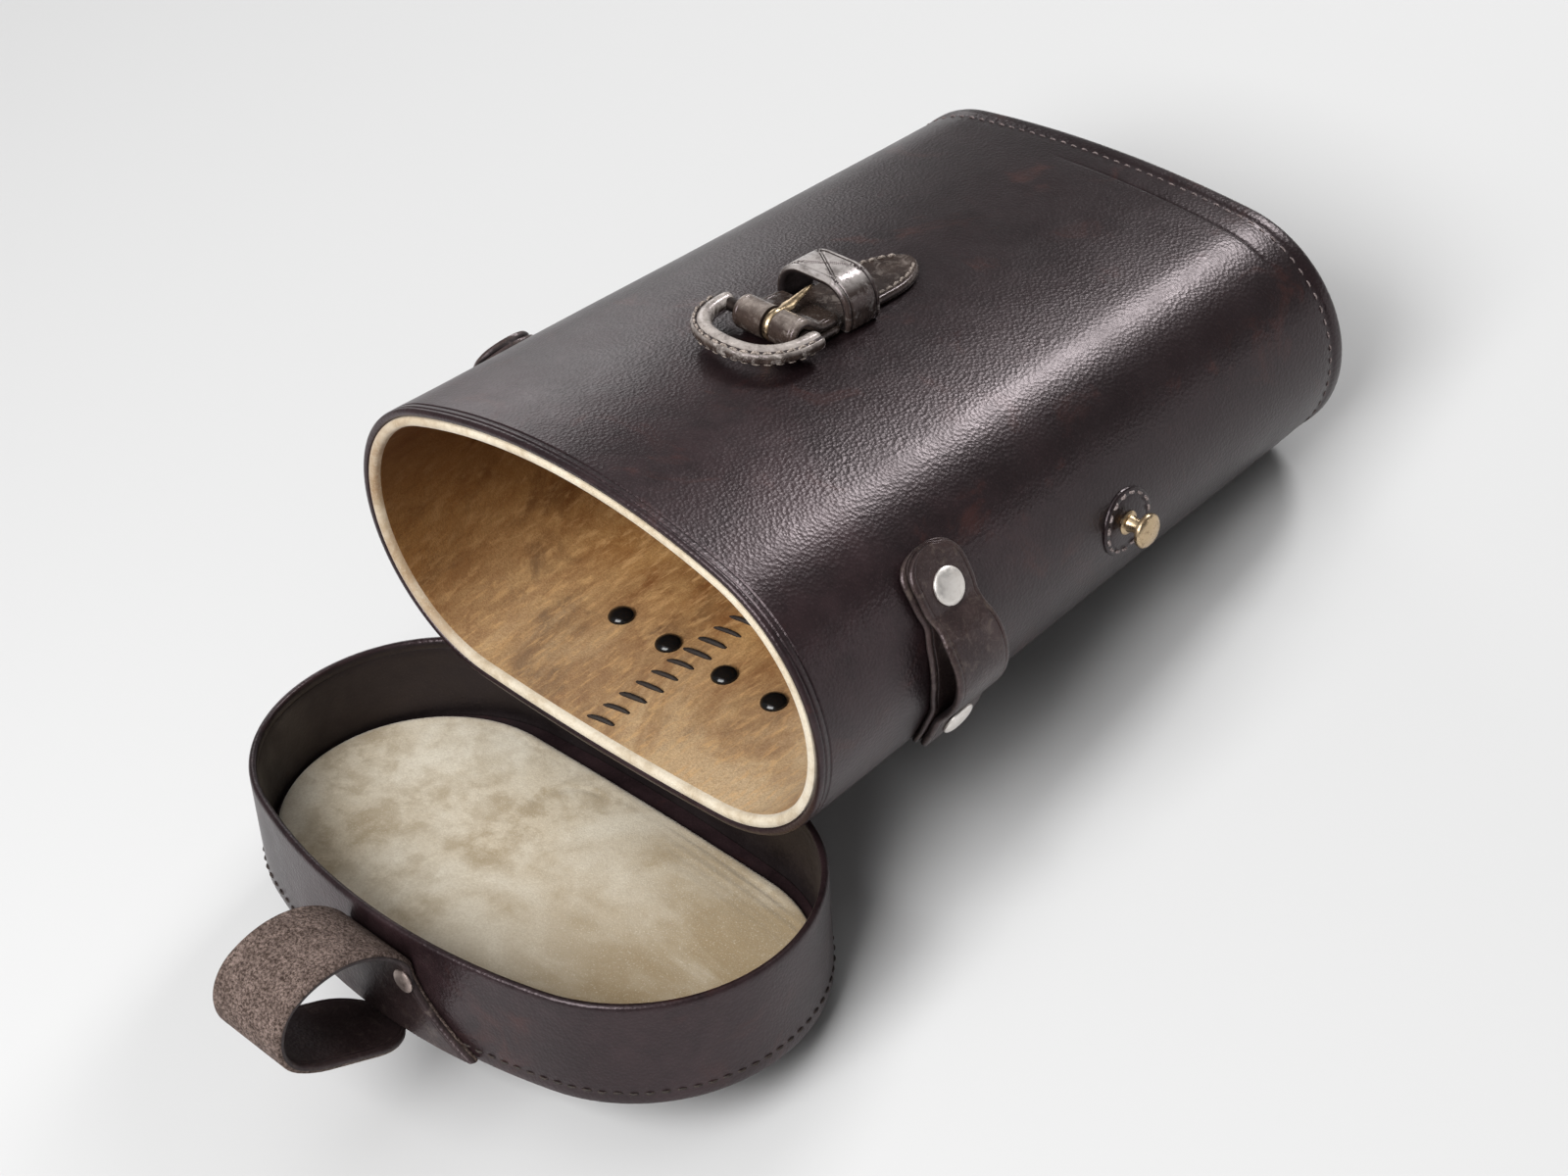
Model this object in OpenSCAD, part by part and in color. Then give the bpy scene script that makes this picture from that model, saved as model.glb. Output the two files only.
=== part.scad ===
// Hard leather case for a pair of binoculars, open, with its lid swung back.
// The tapered body lies on its back panel, mouth towards -Y and base towards +Y.
// Lengths are in millimetres and angles in degrees.

/* [Case body] */
// Length from the mouth to the base
body_len = 191.4; // [175:0.2:205]
// Half width at the mouth
mouth_a = 77; // [74:0.5:78]
// Radius of the rounded sides at the mouth
mouth_r = 38.7; // [36:0.1:42]
// How much higher the panels rise than the rounded sides at the mouth
mouth_crown = 3.7; // [3:0.1:4.5]
// How far the side rounds sit below the middle of the mouth
mouth_low = 2.4;
// Half width at the base
base_a = 71.3; // [68:0.2:76]
// Radius of the rounded sides at the base
base_r = 31.7; // [29:0.1:36]
// How much higher the panels rise than the rounded sides at the base
base_crown = 1.3; // [1.2:0.1:2.5]
// How far the side rounds sit below the middle of the base
base_low = 1.1;
// Height of the middle of the base above the back panel's plane at the mouth
base_mid = 40.6; // [38:0.2:44]
// Thickness of the shell leather
shell_t = 2; // [1.6:0.1:2.4]
// Thickness of the suede lining
lining_t = 2.6; // [1.5:0.1:3]
// Thickness of the base plate
base_plate_t = 2.4; // [2:0.1:3]
// How far the base plate's turned-in edge reaches up the wall
base_flange = 8; // [6:0.5:12]
// Thickness of the padded disc in the bottom
base_pad_t = 4.5; // [2:0.5:5]

/* [Lid] */
// Gap between the mouth and the closed lid at the sides
lid_gap_side = 1.2; // [0.8:0.1:3]
// Gap between the mouth and the closed lid at the panels
lid_gap_panel = 1.7; // [1.6:0.1:3]
// How much larger the lid's side radius is than the mouth's
lid_round = 1.8; // [0.8:0.1:2.8]
// How far the side rounds sit towards the hinge
lid_back = 2.14;
// Distance from the lid's middle to the back of the mouth
lid_mid = 43.5;
// Height of the lid's wall
lid_h = 28.9; // [26:0.5:29]
// Thickness of the lid's wall
lid_wall_t = 2; // [1.6:0.1:2.4]
// Thickness of the lid's top plate
lid_plate_t = 2.4; // [2:0.1:3]
// Height of the top plate's turned-up edge
lid_flange_h = 5.2; // [4.5:0.1:6]
// Height of the pad's crown above the lid's outer face
pad_top = 7.45; // [6.8:0.05:7.6]
// Gap between the pad and the wall on the hinge side
pad_back_gap = 5.4; // [3:0.2:8]
// Angle the lid is opened from the closed place
lid_open = 87.02; // [60:0.5:110]

/* [Hinge] */
// Distance of the hinge line from the mouth
hinge_y = 20.4; // [20:0.05:21]
// Height of the hinge line
hinge_z = -1.57;
// Distance of the hinge line from the lid's outer face
hinge_lid_z = 30.6;
// Distance of the hinge line behind the lid's reference line
hinge_lid_y = 1.5;
// Thickness of the hinge leather
flap_t = 2.2; // [1.8:0.1:2.4]
// Width of the hinge leather
flap_w = 73; // [60:1:80]
// How far the hinge leather reaches along the back panel
flap_end = 46; // [42:1:55]
// Distance of the rivet row from the mouth
hinge_rivet_y = 34; // [31:0.5:38]
// Place across the panel of the outer pair of rivets
hinge_rivet_x2 = 26.5; // [22:0.5:30]
// Place across the panel of the inner pair of rivets
hinge_rivet_x1 = 9.75; // [7:0.25:14]
// How far the rivet row sits to the left
hinge_rivet_shift = 1.2;
// Diameter of the black rivet heads inside the case
hinge_head_d = 6.8; // [5:0.2:8]

/* [Closing strap] */
// Width of the strap
strap_w = 24; // [20:0.5:26]
// Place of the strap's middle across the lid
strap_x = 3; // [-3:0.5:5]
// Thickness of the strap
strap_t = 2.4; // [2:0.1:2.6]
// Width of the flared root along the lid's edge
root_w = 56; // [40:1:60]
// Height on the wall where the strap begins to leave it
strap_leave = 20.5; // [19:0.5:22]
// Straight length of the strap's end
tip_len = 28; // [24:1:34]
// Height of the two root rivets
strap_rivet_z = 17.3; // [15:0.1:18]
// Distance between the two root rivets
strap_rivet_gap = 20.8; // [16:0.2:21]
// Diameter of the root rivet caps
strap_cap_d = 6; // [5:0.2:8]

/* [Buckle] */
// Place of the buckle across the front panel
buckle_x = 1.6; // [-2:0.2:4]
// Distance of the buckle's bar from the mouth
bar_y = 67.5; // [60:0.5:75]
// Height of the bar above the panel
bar_h = 4.25; // [4.22:0.01:4.6]
// Radius of the bar and the frame's wire
bar_r = 1.6; // [1.4:0.05:1.7]
// Half width of the leather barrel round the bar
barrel_w = 10; // [8:0.5:11]
// Thickness of the tab's leather
tab_t = 2.4; // [2:0.1:2.6]
// Half width of the tab
tab_w = 8.5; // [7:0.5:9]
// Length of the tab from the bar to its point
tab_len = 46.3; // [40:0.5:55]
// Half width of the frame to the middle of its wire
frame_a = 14.2; // [13.5:0.1:16]
// Depth of the frame to the middle of its wire
frame_b = 13.6; // [13.5:0.1:15]
// How far the frame has slid along the bar
frame_slide = -1.8; // [-1.8:0.1:1.8]
// Radius of the leather over the frame's wire
cover_r = 2.1; // [2:0.05:2.2]
// Radius of the prong's wire
prong_r = 1.15; // [1:0.05:1.2]
// Reach of the prong from the bar
prong_len = 12.1; // [12:0.1:12.2]
// Half width of the keeper loop
keeper_w = 11.8; // [11:0.2:13]
// Height of the keeper loop above the panel
keeper_h = 12.4; // [11:0.2:14]
// Length of the keeper loop along the case
keeper_len = 11; // [9:0.5:12]
// Thickness of the keeper's leather
keeper_t = 2.2; // [1.8:0.1:2.4]

/* [Side loops and studs] */
// Distance of the side loops from the mouth
loop_y = 43; // [38:0.5:60]
// Half width of the loops
loop_w = 8.5; // [7:0.25:9]
// Half angle the loops cover round the rounded side
loop_half = 41; // [38:1:45]
// Angle of the loop rivets above and below the middle
loop_rivet_a = 27; // [24:0.5:29]
// Thickness of the loop's leather
loop_t = 1.8; // [1.6:0.1:2.2]
// Thickness of the backing strip
backing_t = 1.5; // [1:0.1:2]
// Free height under the middle of the loop
loop_gap = 5.1; // [4.5:0.1:7]
// Diameter of the loop rivet caps
loop_cap_d = 8.8; // [8:0.2:12]
// Distance of the side studs from the mouth
stud_y = 103.8; // [90:0.2:130]
// Diameter of the stud's head
stud_head_d = 9.5; // [8:0.25:11]
// Radius of the stud's post
stud_post_r = 2.1; // [1.8:0.1:2.6]
// Height of the stud's head above the leather
stud_h = 7.4; // [6:0.2:9]
// Diameter of the stitched patch under the stud
patch_d = 17; // [14:0.5:20]

/* [Hidden] */
// Gap left between glued, stitched or riveted pieces
seat = 0.05;
// Radial gap of the bar in the leather barrel
run_fit = 0.08;
// Gap of the prong's ring on the bar
ring_fit = 0.15;
// Radius of every shank
shank_r = 1.5;
// Segments on each arc of the ovals: side, front, back
n_side = 28;
n_front = 20;
n_back = 8;
// Smoothness of true circles
$fn = 48;

// Half heights of the body, and the lid's inside size from the mouth it closes over
mouth_b = mouth_r + mouth_crown;
base_b = base_r + base_crown;
lid_a = mouth_a + lid_gap_side;
lid_b = mouth_b + lid_gap_panel;
lid_r = mouth_r + lid_round;

// Height of the front panel's middle line at the mouth and at the base
front_0 = 2 * mouth_b;
front_1 = base_mid + base_b;
front_slope = atan((front_1 - front_0) / body_len);
// Height of the back panel's middle line at the base
back_1 = base_mid - base_b;
back_slope = atan(back_1 / body_len);

// The lid's outer back corner, then both edges the open case stands on
lid_turn = lid_open - 90;
corner_v = lid_b + lid_wall_t - lid_mid - hinge_lid_y;
corner_y = hinge_y + corner_v * cos(lid_turn) + hinge_lid_z * sin(lid_turn);
corner_z = hinge_z + corner_v * sin(lid_turn) - hinge_lid_z * cos(lid_turn);
rest_tilt = atan2(back_1 - corner_z, body_len - corner_y);
rest_lift = body_len * sin(rest_tilt) - back_1 * cos(rest_tilt);

// Curl of the strap, as arcs seen from the side: radius, angle
curl_r = [6.5, 23.8, 11.9, 33.4];
curl_a = [35.6, 79.4, 117, 15.5];
// Heading at the start of each arc
curl_h = [
  90,
  90 + curl_a[0],
  90 + curl_a[0] + curl_a[1],
  90 + curl_a[0] + curl_a[1] + curl_a[2],
  90 + curl_a[0] + curl_a[1] + curl_a[2] + curl_a[3]
];
// Face of the lid's front wall and the strap's starting place on it
wall_y = -(lid_mid + lid_b + lid_wall_t);
function unit(a) = [cos(a), sin(a)];
p0 = [wall_y - seat, strap_leave];
c0 = p0 + curl_r[0] * unit(curl_h[0] + 90);
p1 = c0 + curl_r[0] * unit(curl_h[1] - 90);
c1 = p1 + curl_r[1] * unit(curl_h[1] + 90);
p2 = c1 + curl_r[1] * unit(curl_h[2] - 90);
c2 = p2 + curl_r[2] * unit(curl_h[2] + 90);
p3 = c2 + curl_r[2] * unit(curl_h[3] - 90);
c3 = p3 + curl_r[3] * unit(curl_h[3] + 90);
p4 = c3 + curl_r[3] * unit(curl_h[4] - 90);
curl_c = [c0, c1, c2, c3];
turn = [for (h = curl_h) h - 90];
// Part of the second arc that stays with the lid, and the bend line after it
flex_a = 15;
flex_gap = 1.7;
flex_end = flex_a - flex_gap * 180 / PI / (curl_r[1] - strap_t / 2);
flex = c1 + (curl_r[1] - strap_t / 2) * unit(curl_h[1] - 90 + flex_a);

// Nearest and farthest points of the standing case, to centre it
curl_far = c2 + curl_r[2] * unit(180);
function lid_to_body(p) = [
  hinge_y + (p[0] - hinge_lid_y) * cos(lid_turn) - (p[1] - hinge_lid_z) * sin(lid_turn),
  hinge_z + (p[0] - hinge_lid_y) * sin(lid_turn) + (p[1] - hinge_lid_z) * cos(lid_turn)
];
function to_rest_y(p) = p[0] * cos(rest_tilt) + p[1] * sin(rest_tilt);
near_pts = [for (a = [120:5:240]) to_rest_y(lid_to_body(c2 + curl_r[2] * unit(a)))];
rest_shift = -(min(near_pts) + to_rest_y([body_len, front_1])) / 2;

// Points of a four-arc oval, anticlockwise: half width, half height, side radius, side offset
function wide_r(a, r, s) = ((a - r) * (a - r) + s * s - r * r) / (2 * (s - r));
function arc_pts(cx, cy, r, a0, a1, n) =
  [for (i = [0:n - 1]) [cx + r * cos(a0 + (a1 - a0) * i / n), cy + r * sin(a0 + (a1 - a0) * i / n)]];
function oval_pts(a, b, r, c) =
  let (
    st = b - c,
    sb = b + c,
    rt = wide_r(a, r, st),
    rb = wide_r(a, r, sb),
    tt = atan2(rt - st, a - r),
    tb = atan2(rb - sb, a - r)
  )
  concat(
    arc_pts(a - r, c, r, -tb, tt, n_side),
    arc_pts(0, c + st - rt, rt, tt, 180 - tt, n_front),
    arc_pts(r - a, c, r, 180 - tt, 180 + tb, n_side),
    arc_pts(0, c - sb + rb, rb, 180 + tb, 360 - tb, n_back)
  );

// One ring of the tapered body at a distance y from the mouth, grown outwards by g
function body_ring(y, g) =
  let (
    m = oval_pts(mouth_a + g, mouth_b + g, mouth_r + g, -mouth_low),
    e = oval_pts(base_a + g, base_b + g, base_r + g, -base_low),
    t = y / body_len
  )
  [for (i = [0:len(m) - 1]) [
    m[i][0] * (1 - t) + e[i][0] * t,
    y,
    (m[i][1] + mouth_b) * (1 - t) + (e[i][1] + base_mid) * t
  ]];

// A closed solid through a list of rings with equal numbers of points
module loft(rings, fan = false) {
  n = len(rings[0]);
  k = len(rings);
  e = (k - 1) * n;
  polyhedron(
    points = [for (r = rings) for (p = r) p],
    faces = concat(
      fan ? [for (i = [1:n - 2]) [0, i + 1, i]] : [[for (i = [n - 1:-1:0]) i]],
      fan ? [for (i = [1:n - 2]) [e, e + i, e + i + 1]] : [[for (i = [0:n - 1]) e + i]],
      [for (j = [0:k - 2]) for (i = [0:n - 1])
        [j * n + i, j * n + (i + 1) % n, (j + 1) * n + (i + 1) % n]],
      [for (j = [0:k - 2]) for (i = [0:n - 1])
        [j * n + i, (j + 1) * n + (i + 1) % n, (j + 1) * n + i]]
    ),
    convexity = 4
  );
}

module body_core(g, y0 = -1, y1 = body_len + 1) {
  loft([body_ring(y0, g), body_ring(y1, g)]);
}

// Places used by the fittings
module rest() {
  translate([0, rest_shift, rest_lift])
    rotate([-rest_tilt, 0, 0])
      children();
}

module lid_place() {
  rest()
    translate([0, hinge_y, hinge_z])
      rotate([lid_turn, 0, 0])
        translate([0, -hinge_lid_y, -hinge_lid_z])
          children();
}

module front_place() {
  translate([buckle_x, bar_y, front_0 + (front_1 - front_0) * bar_y / body_len])
    rotate([front_slope, 0, 0])
      children();
}

// Height of the back panel's curve over its middle line
function back_rise(x, y) =
  let (
    m = wide_r(mouth_a, mouth_r, mouth_b - mouth_low),
    e = wide_r(base_a, base_r, base_b - base_low),
    t = y / body_len
  )
  (m - sqrt(m * m - x * x)) * (1 - t) + (e - sqrt(e * e - x * x)) * t;

module back_place(x, y) {
  translate([x, y, back_1 * y / body_len + back_rise(x, y)])
    rotate([180 + back_slope, 0, 0])
      children();
}

// Middle of the side round at a distance y from the mouth, with X square to the side
module side_place(y, right) {
  t = y / body_len;
  cx = (mouth_a - mouth_r) * (1 - t) + (base_a - base_r) * t;
  cz = (mouth_b - mouth_low) * (1 - t) + (base_mid - base_low) * t;
  mirror([right ? 0 : 1, 0, 0])
    translate([cx, y, cz])
      rotate([0, 0, atan((mouth_a - base_a) / body_len)])
        children();
}
function side_r(y) = mouth_r + (base_r - mouth_r) * y / body_len;

// A shallow dome standing on z = 0
module dome(d, h) {
  rr = (d * d / 4 + h * h) / (2 * h);
  rotate_extrude()
    intersection() {
      translate([0, h - rr])
        circle(rr, $fn = 96);
      square([d, h]);
    }
}

// Side view of the curl between two turning angles, with an optional rounded start
function curl_k(a) = a < turn[1] ? 0 : a < turn[2] ? 1 : a < turn[3] ? 2 : 3;
function curl_pt(a, off) = curl_c[curl_k(a)] + (curl_r[curl_k(a)] - off) * unit(a);
module curl_side(a0, a1, lead = [], tail = []) {
  n = ceil((a1 - a0) / 5);
  steps = [for (i = [0:n]) a0 + (a1 - a0) * i / n];
  polygon(concat(
    lead,
    [for (a = steps) curl_pt(a, 0)],
    tail,
    [for (i = [n:-1:0]) curl_pt(steps[i], strap_t)]
  ));
}

// Turns a side view into a solid of width w about x
module across(w, x = 0) {
  translate([x - w / 2, 0, 0])
    rotate([90, 0, 90])
      linear_extrude(w)
        children();
}

// The four hinge rivet places
hinge_rivet_xs = [-hinge_rivet_x2, -hinge_rivet_x1, hinge_rivet_x1, hinge_rivet_x2];
module hinge_rivet_places() {
  for (x = hinge_rivet_xs)
    back_place(x - hinge_rivet_shift, hinge_rivet_y)
      children();
}

module hinge_rivet_holes() {
  hinge_rivet_places()
    translate([0, 0, -12])
      cylinder(h = 24, r = shank_r + seat);
}

module loop_rivet_holes() {
  for (right = [true, false])
    side_place(loop_y, right)
      for (s = [-1, 1])
        rotate([0, -s * loop_rivet_a, 0])
          translate([side_r(loop_y) - 3.5, 0, 0])
            rotate([0, 90, 0])
              cylinder(h = 12, r = shank_r + seat);
}

module stud_holes() {
  for (right = [true, false])
    side_place(stud_y, right)
      translate([side_r(stud_y) - 3.5, 0, 0])
        rotate([0, 90, 0])
          cylinder(h = 8, r = stud_post_r + seat);
}

// Body pieces
module body_shell() {
  color("#2e2726")
    rest()
      difference() {
        body_core(0, 0, body_len);
        body_core(-shell_t);
        hinge_rivet_holes();
        loop_rivet_holes();
        stud_holes();
      }
}

module body_lining() {
  color("#c9a878")
    rest()
      difference() {
        body_core(-shell_t - seat, 0, body_len - base_flange - seat);
        body_core(-shell_t - lining_t);
        hinge_rivet_holes();
      }
}

module base_plate() {
  color("#2b2423")
    rest()
      difference() {
        body_core(-shell_t - seat, body_len - base_flange, body_len);
        body_core(-shell_t - lining_t, -1, body_len - base_plate_t);
      }
}

module base_lining() {
  top = body_len - base_plate_t - seat;
  color("#c4a478")
    rest()
      body_core(-shell_t - lining_t - seat, top - base_pad_t, top);
}

// Hinge leather, with a round bead on the bend line
module hinge_flap() {
  color("#292221")
    rest()
      difference() {
        union() {
          intersection() {
            difference() {
              body_core(flap_t + seat);
              body_core(seat);
            }
            translate([-flap_w / 2, 0, -20])
              linear_extrude(30)
                flap_outline();
          }
          translate([-flap_w / 2, hinge_y, hinge_z])
            rotate([0, 90, 0])
              cylinder(h = flap_w, r = flap_t / 2 + 0.1);
        }
        body_core(seat);
        hinge_rivet_holes();
      }
}

module flap_outline() {
  r = 8;
  translate([0, hinge_y])
    square([flap_w, flap_end - r - hinge_y]);
  translate([r, hinge_y])
    square([flap_w - 2 * r, flap_end - hinge_y]);
  for (x = [r, flap_w - r])
    translate([x, flap_end - r])
      circle(r);
}

module hinge_rivets() {
  color("#111111")
    rest()
      hinge_rivet_places() {
        inner = -(shell_t + lining_t + 5 * seat);
        outer = flap_t + 4 * seat;
        translate([0, 0, inner - 0.4])
          cylinder(h = outer - inner + 0.8, r = shank_r);
        translate([0, 0, inner])
          mirror([0, 0, 1])
            dome(hinge_head_d, 2);
        translate([0, 0, outer])
          cylinder(h = 0.5, r = 2.7);
        translate([0, 0, outer + 0.5])
          dome(5.4, 0.7);
      }
}

// Buckle pieces
module buckle_tab() {
  color("#332a28")
    rest()
      difference() {
        front_place()
          difference() {
            union() {
              translate([-barrel_w, 0, bar_h])
                rotate([0, 90, 0])
                  cylinder(h = 2 * barrel_w, r = bar_h - 0.1);
              translate([-barrel_w, 0, -2])
                cube([2 * barrel_w, tab_stack, 2 + 2 * tab_t + seat]);
              translate([0, 0, -2])
                linear_extrude(2 + tab_t + seat)
                  tab_outline();
            }
            translate([-barrel_w - 1, 0, bar_h])
              rotate([0, 90, 0])
                cylinder(h = 2 * barrel_w + 2, r = bar_r + run_fit);
            translate([prong_x - prong_r - 0.35, -6, -3])
              cube([2 * prong_r + 0.7, 6 + bar_h + 0.35, 14]);
            translate([-20, keeper_y - 0.1, -3])
              cube([40, keeper_len + 0.2, 3 + keeper_foot + 2 * seat]);
          }
        body_core(seat);
      }
}

// Distance of the keeper from the bar, its foot under the tab, and the doubled length of the tab
keeper_y = 12.5;
keeper_foot = 1.2;
tab_stack = keeper_y - 1;
// Place of the prong along the bar
prong_x = 0.8;

module tab_outline() {
  s = 12;
  side = [for (i = [0:s]) [tab_w * sqrt(1 - pow(i / s, 2)), tab_len - 14 + 14 * i / s]];
  polygon(concat(
    [[-tab_w, 0], [tab_w, 0]],
    side,
    [for (i = [s - 1:-1:0]) [-side[i][0], side[i][1]]]
  ));
}

module arch(w, h, r) {
  polygon(concat(
    [[-w, 0], [w, 0]],
    [for (a = [0:9:90]) [w - r, h - r] + r * unit(a)],
    [for (a = [90:9:180]) [r - w, h - r] + r * unit(a)]
  ));
}

module keeper_loop() {
  color("#3a302e")
    rest()
      difference() {
        front_place()
          translate([0, keeper_y + keeper_len, 0])
            rotate([90, 0, 0])
              linear_extrude(keeper_len)
                difference() {
                  translate([0, -2])
                    arch(keeper_w, keeper_h + 2, 8);
                  translate([0, keeper_foot + seat])
                    arch(keeper_w - keeper_t, keeper_h - keeper_t - keeper_foot - seat, 8 - keeper_t);
                }
        body_core(seat);
      }
}

// Half of a rounded D from one end of the bar to the other
function d_pts(n) = [for (i = [0:n]) let (
    u = 180 * i / n,
    c = cos(u),
    s = sin(u)
  ) [
    frame_a * sign(c) * pow(abs(c), 0.8),
    -frame_b * pow(abs(s), 0.8)
  ]];
function d_dir(p, i) = let (
    a = p[max(i - 1, 0)],
    b = p[min(i + 1, len(p) - 1)],
    d = b - a
  ) d / norm(d);

// Sweeps a closed outline, given as [outwards, up], along a flat path
module sweep_flat(p, outline) {
  rings = [for (i = [0:len(p) - 1]) let (d = d_dir(p, i), q = [-d[1], d[0]])
    [for (o = outline) [p[i][0] + q[0] * o[0], p[i][1] + q[1] * o[0], o[1]]]];
  loft(rings, true);
}

// The frame's wire, its leather and the hole through the leather
wire_path = concat([[frame_a, 1.5]], d_pts(30), [[-frame_a, 1.5]]);
hole_path = concat([[frame_a, 4]], d_pts(30), [[-frame_a, 4]]);
wire_r = bar_r - 0.1;
function wire_ring(r) = [for (i = [0:15]) r * unit(-i * 22.5)];

module frame_place() {
  rest()
    front_place()
      translate([frame_slide, 0, bar_h])
        children();
}

module buckle_wire() {
  color("#8d7a4e")
    frame_place() {
      translate([-frame_a, 0, 0])
        rotate([0, 90, 0])
          cylinder(h = 2 * frame_a, r = bar_r);
      sweep_flat(wire_path, wire_ring(wire_r));
    }
}

module buckle_cover() {
  section = concat(
    [for (a = [54:21:306]) cover_r * unit(-a)],
    [[2.75, 1.25], [2.75, -1.25]]
  );
  color("#3b312f")
    frame_place()
      difference() {
        sweep_flat(wire_path, section);
        sweep_flat(hole_path, wire_ring(wire_r + seat));
        translate([-frame_a, 0, 0])
          rotate([0, 90, 0])
            cylinder(h = 2 * frame_a, r = bar_r + seat);
      }
}

module buckle_prong() {
  ring = bar_r + ring_fit + prong_r;
  rise = 2.3;
  color("#b3924f")
    rest()
      front_place()
        translate([prong_x, 0, bar_h]) {
          rotate([0, 90, 0])
            rotate_extrude($fn = 64)
              translate([ring, 0])
                circle(prong_r, $fn = 24);
          hull() {
            translate([-prong_r, 0.5, ring - prong_r * 0.9])
              cube([2 * prong_r, 1, 1.8 * prong_r]);
            translate([-1.6, 4.9, ring - 0.6])
              cube([3.2, 0.3, 1.8]);
            translate([-0.45, prong_len - 0.2, ring + rise - 0.3])
              cube([0.9, 0.2, 0.8]);
          }
        }
}

// Side loops: the strip as seen from the side, and its profile round the side
module strip_outline(w, half_a, r) {
  l = r * sin(half_a);
  translate([-w, -l + 4])
    square([2 * w, 2 * l - 8]);
  translate([-w + 4, -l])
    square([2 * w - 8, 2 * l]);
  for (x = [-w + 4, w - 4], y = [-l + 4, l - 4])
    translate([x, y])
      circle(4);
}

module strip_prism(w, half_a, r) {
  rotate([90, 0, 90])
    linear_extrude(mouth_a)
      strip_outline(w, half_a, r);
}

module loop_backing(right) {
  color("#272120")
    rest()
      difference() {
        intersection() {
          body_core(backing_t + seat);
          side_place(loop_y, right)
            strip_prism(loop_w + 0.7, loop_half + 1, side_r(loop_y) + 1);
        }
        body_core(seat);
        loop_rivet_holes();
      }
}

module loop_backing_right() {
  loop_backing(true);
}

module loop_backing_left() {
  loop_backing(false);
}

// Height of the loop's underside over the backing at an angle from the middle
function bulge(a) = abs(a) < 21 ? loop_gap * pow(cos(abs(a) * 90 / 21), 1.1) : 0;

module strap_loop(right) {
  r0 = side_r(loop_y) + backing_t + 0.2;
  n = 60;
  top = loop_half + 3;
  inner = [for (i = [0:n]) let (a = -top + 2 * top * i / n) (r0 + bulge(a)) * unit(a)];
  outer = [for (i = [n:-1:0]) let (a = -top + 2 * top * i / n) (r0 + loop_t + bulge(a)) * unit(a)];
  color("#3a302c")
    rest()
      difference() {
        side_place(loop_y, right)
          intersection() {
            translate([0, loop_w + 1, 0])
              rotate([90, 0, 0])
                linear_extrude(2 * loop_w + 2)
                  polygon(concat(inner, outer));
            strip_prism(loop_w, loop_half, side_r(loop_y) + 1.5);
          }
        body_core(backing_t + 2 * seat);
        loop_rivet_holes();
      }
}

module strap_loop_right() {
  strap_loop(true);
}

module strap_loop_left() {
  strap_loop(false);
}

module loop_rivets(right) {
  r = side_r(loop_y);
  foot = r + backing_t + loop_t + 0.2;
  color("#a8a29a")
    rest()
      side_place(loop_y, right)
        for (s = [-1, 1])
          rotate([0, -s * loop_rivet_a, 0]) {
            translate([r - shell_t + 0.1, 0, 0])
              rotate([0, 90, 0])
                cylinder(h = foot - r + shell_t + 0.3, r = shank_r);
            translate([foot + 0.3, 0, 0])
              rotate([0, 90, 0])
                cylinder(h = 0.6, r = loop_cap_d / 2);
            translate([foot + 0.9, 0, 0])
              rotate([0, 90, 0])
                dome(loop_cap_d, 0.9);
          }
}

module loop_rivets_right() {
  loop_rivets(true);
}

module loop_rivets_left() {
  loop_rivets(false);
}

// Stitched patches and brass studs for the carrying strap
module stud_patch(right) {
  color("#2a2322")
    rest()
      difference() {
        intersection() {
          body_core(0.6 + seat);
          side_place(stud_y, right)
            rotate([0, 90, 0])
              cylinder(h = mouth_a, r = patch_d / 2);
        }
        body_core(seat);
        stud_holes();
      }
}

module stud_patch_right() {
  stud_patch(true);
}

module stud_patch_left() {
  stud_patch(false);
}

module stud(right) {
  r = side_r(stud_y);
  base = 0.9;
  color("#b39a63")
    rest()
      side_place(stud_y, right)
        translate([r, 0, 0])
          rotate([0, 90, 0]) {
            translate([0, 0, -shell_t + 0.15])
              cylinder(h = shell_t + stud_h - 1.6, r = stud_post_r);
            translate([0, 0, base])
              cylinder(h = 0.8, r = 3.4);
            translate([0, 0, stud_h - 2])
              cylinder(h = 1, r = stud_head_d / 2);
            translate([0, 0, stud_h - 1])
              dome(stud_head_d, 1.2);
            translate([0, 0, stud_h - 2.8])
              cylinder(h = 0.8, r1 = stud_post_r, r2 = stud_head_d / 2, $fn = 48);
          }
}

module stud_right() {
  stud(true);
}

module stud_left() {
  stud(false);
}

// Lid pieces, drawn with the outer face on z = 0 and the hinge at the back
module lid_oval(g) {
  translate([0, -lid_mid])
    polygon(oval_pts(lid_a + g, lid_b + g, lid_r + g, lid_back));
}

module lid_rivet_holes() {
  for (s = [-1, 1])
    translate([strap_x + s * strap_rivet_gap / 2, wall_y - 6, strap_rivet_z])
      rotate([-90, 0, 0])
        cylinder(h = 12, r = shank_r + seat);
}

module lid_wall() {
  color("#30292a")
    lid_place()
      difference() {
        linear_extrude(lid_h)
          difference() {
            lid_oval(lid_wall_t);
            lid_oval(0);
          }
        lid_rivet_holes();
      }
}

module lid_plate() {
  color("#2a2324")
    lid_place() {
      linear_extrude(lid_plate_t)
        lid_oval(-seat);
      translate([0, 0, lid_plate_t])
        linear_extrude(lid_flange_h - lid_plate_t)
          difference() {
            lid_oval(-seat);
            lid_oval(-seat - lid_wall_t);
          }
    }
}

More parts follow.
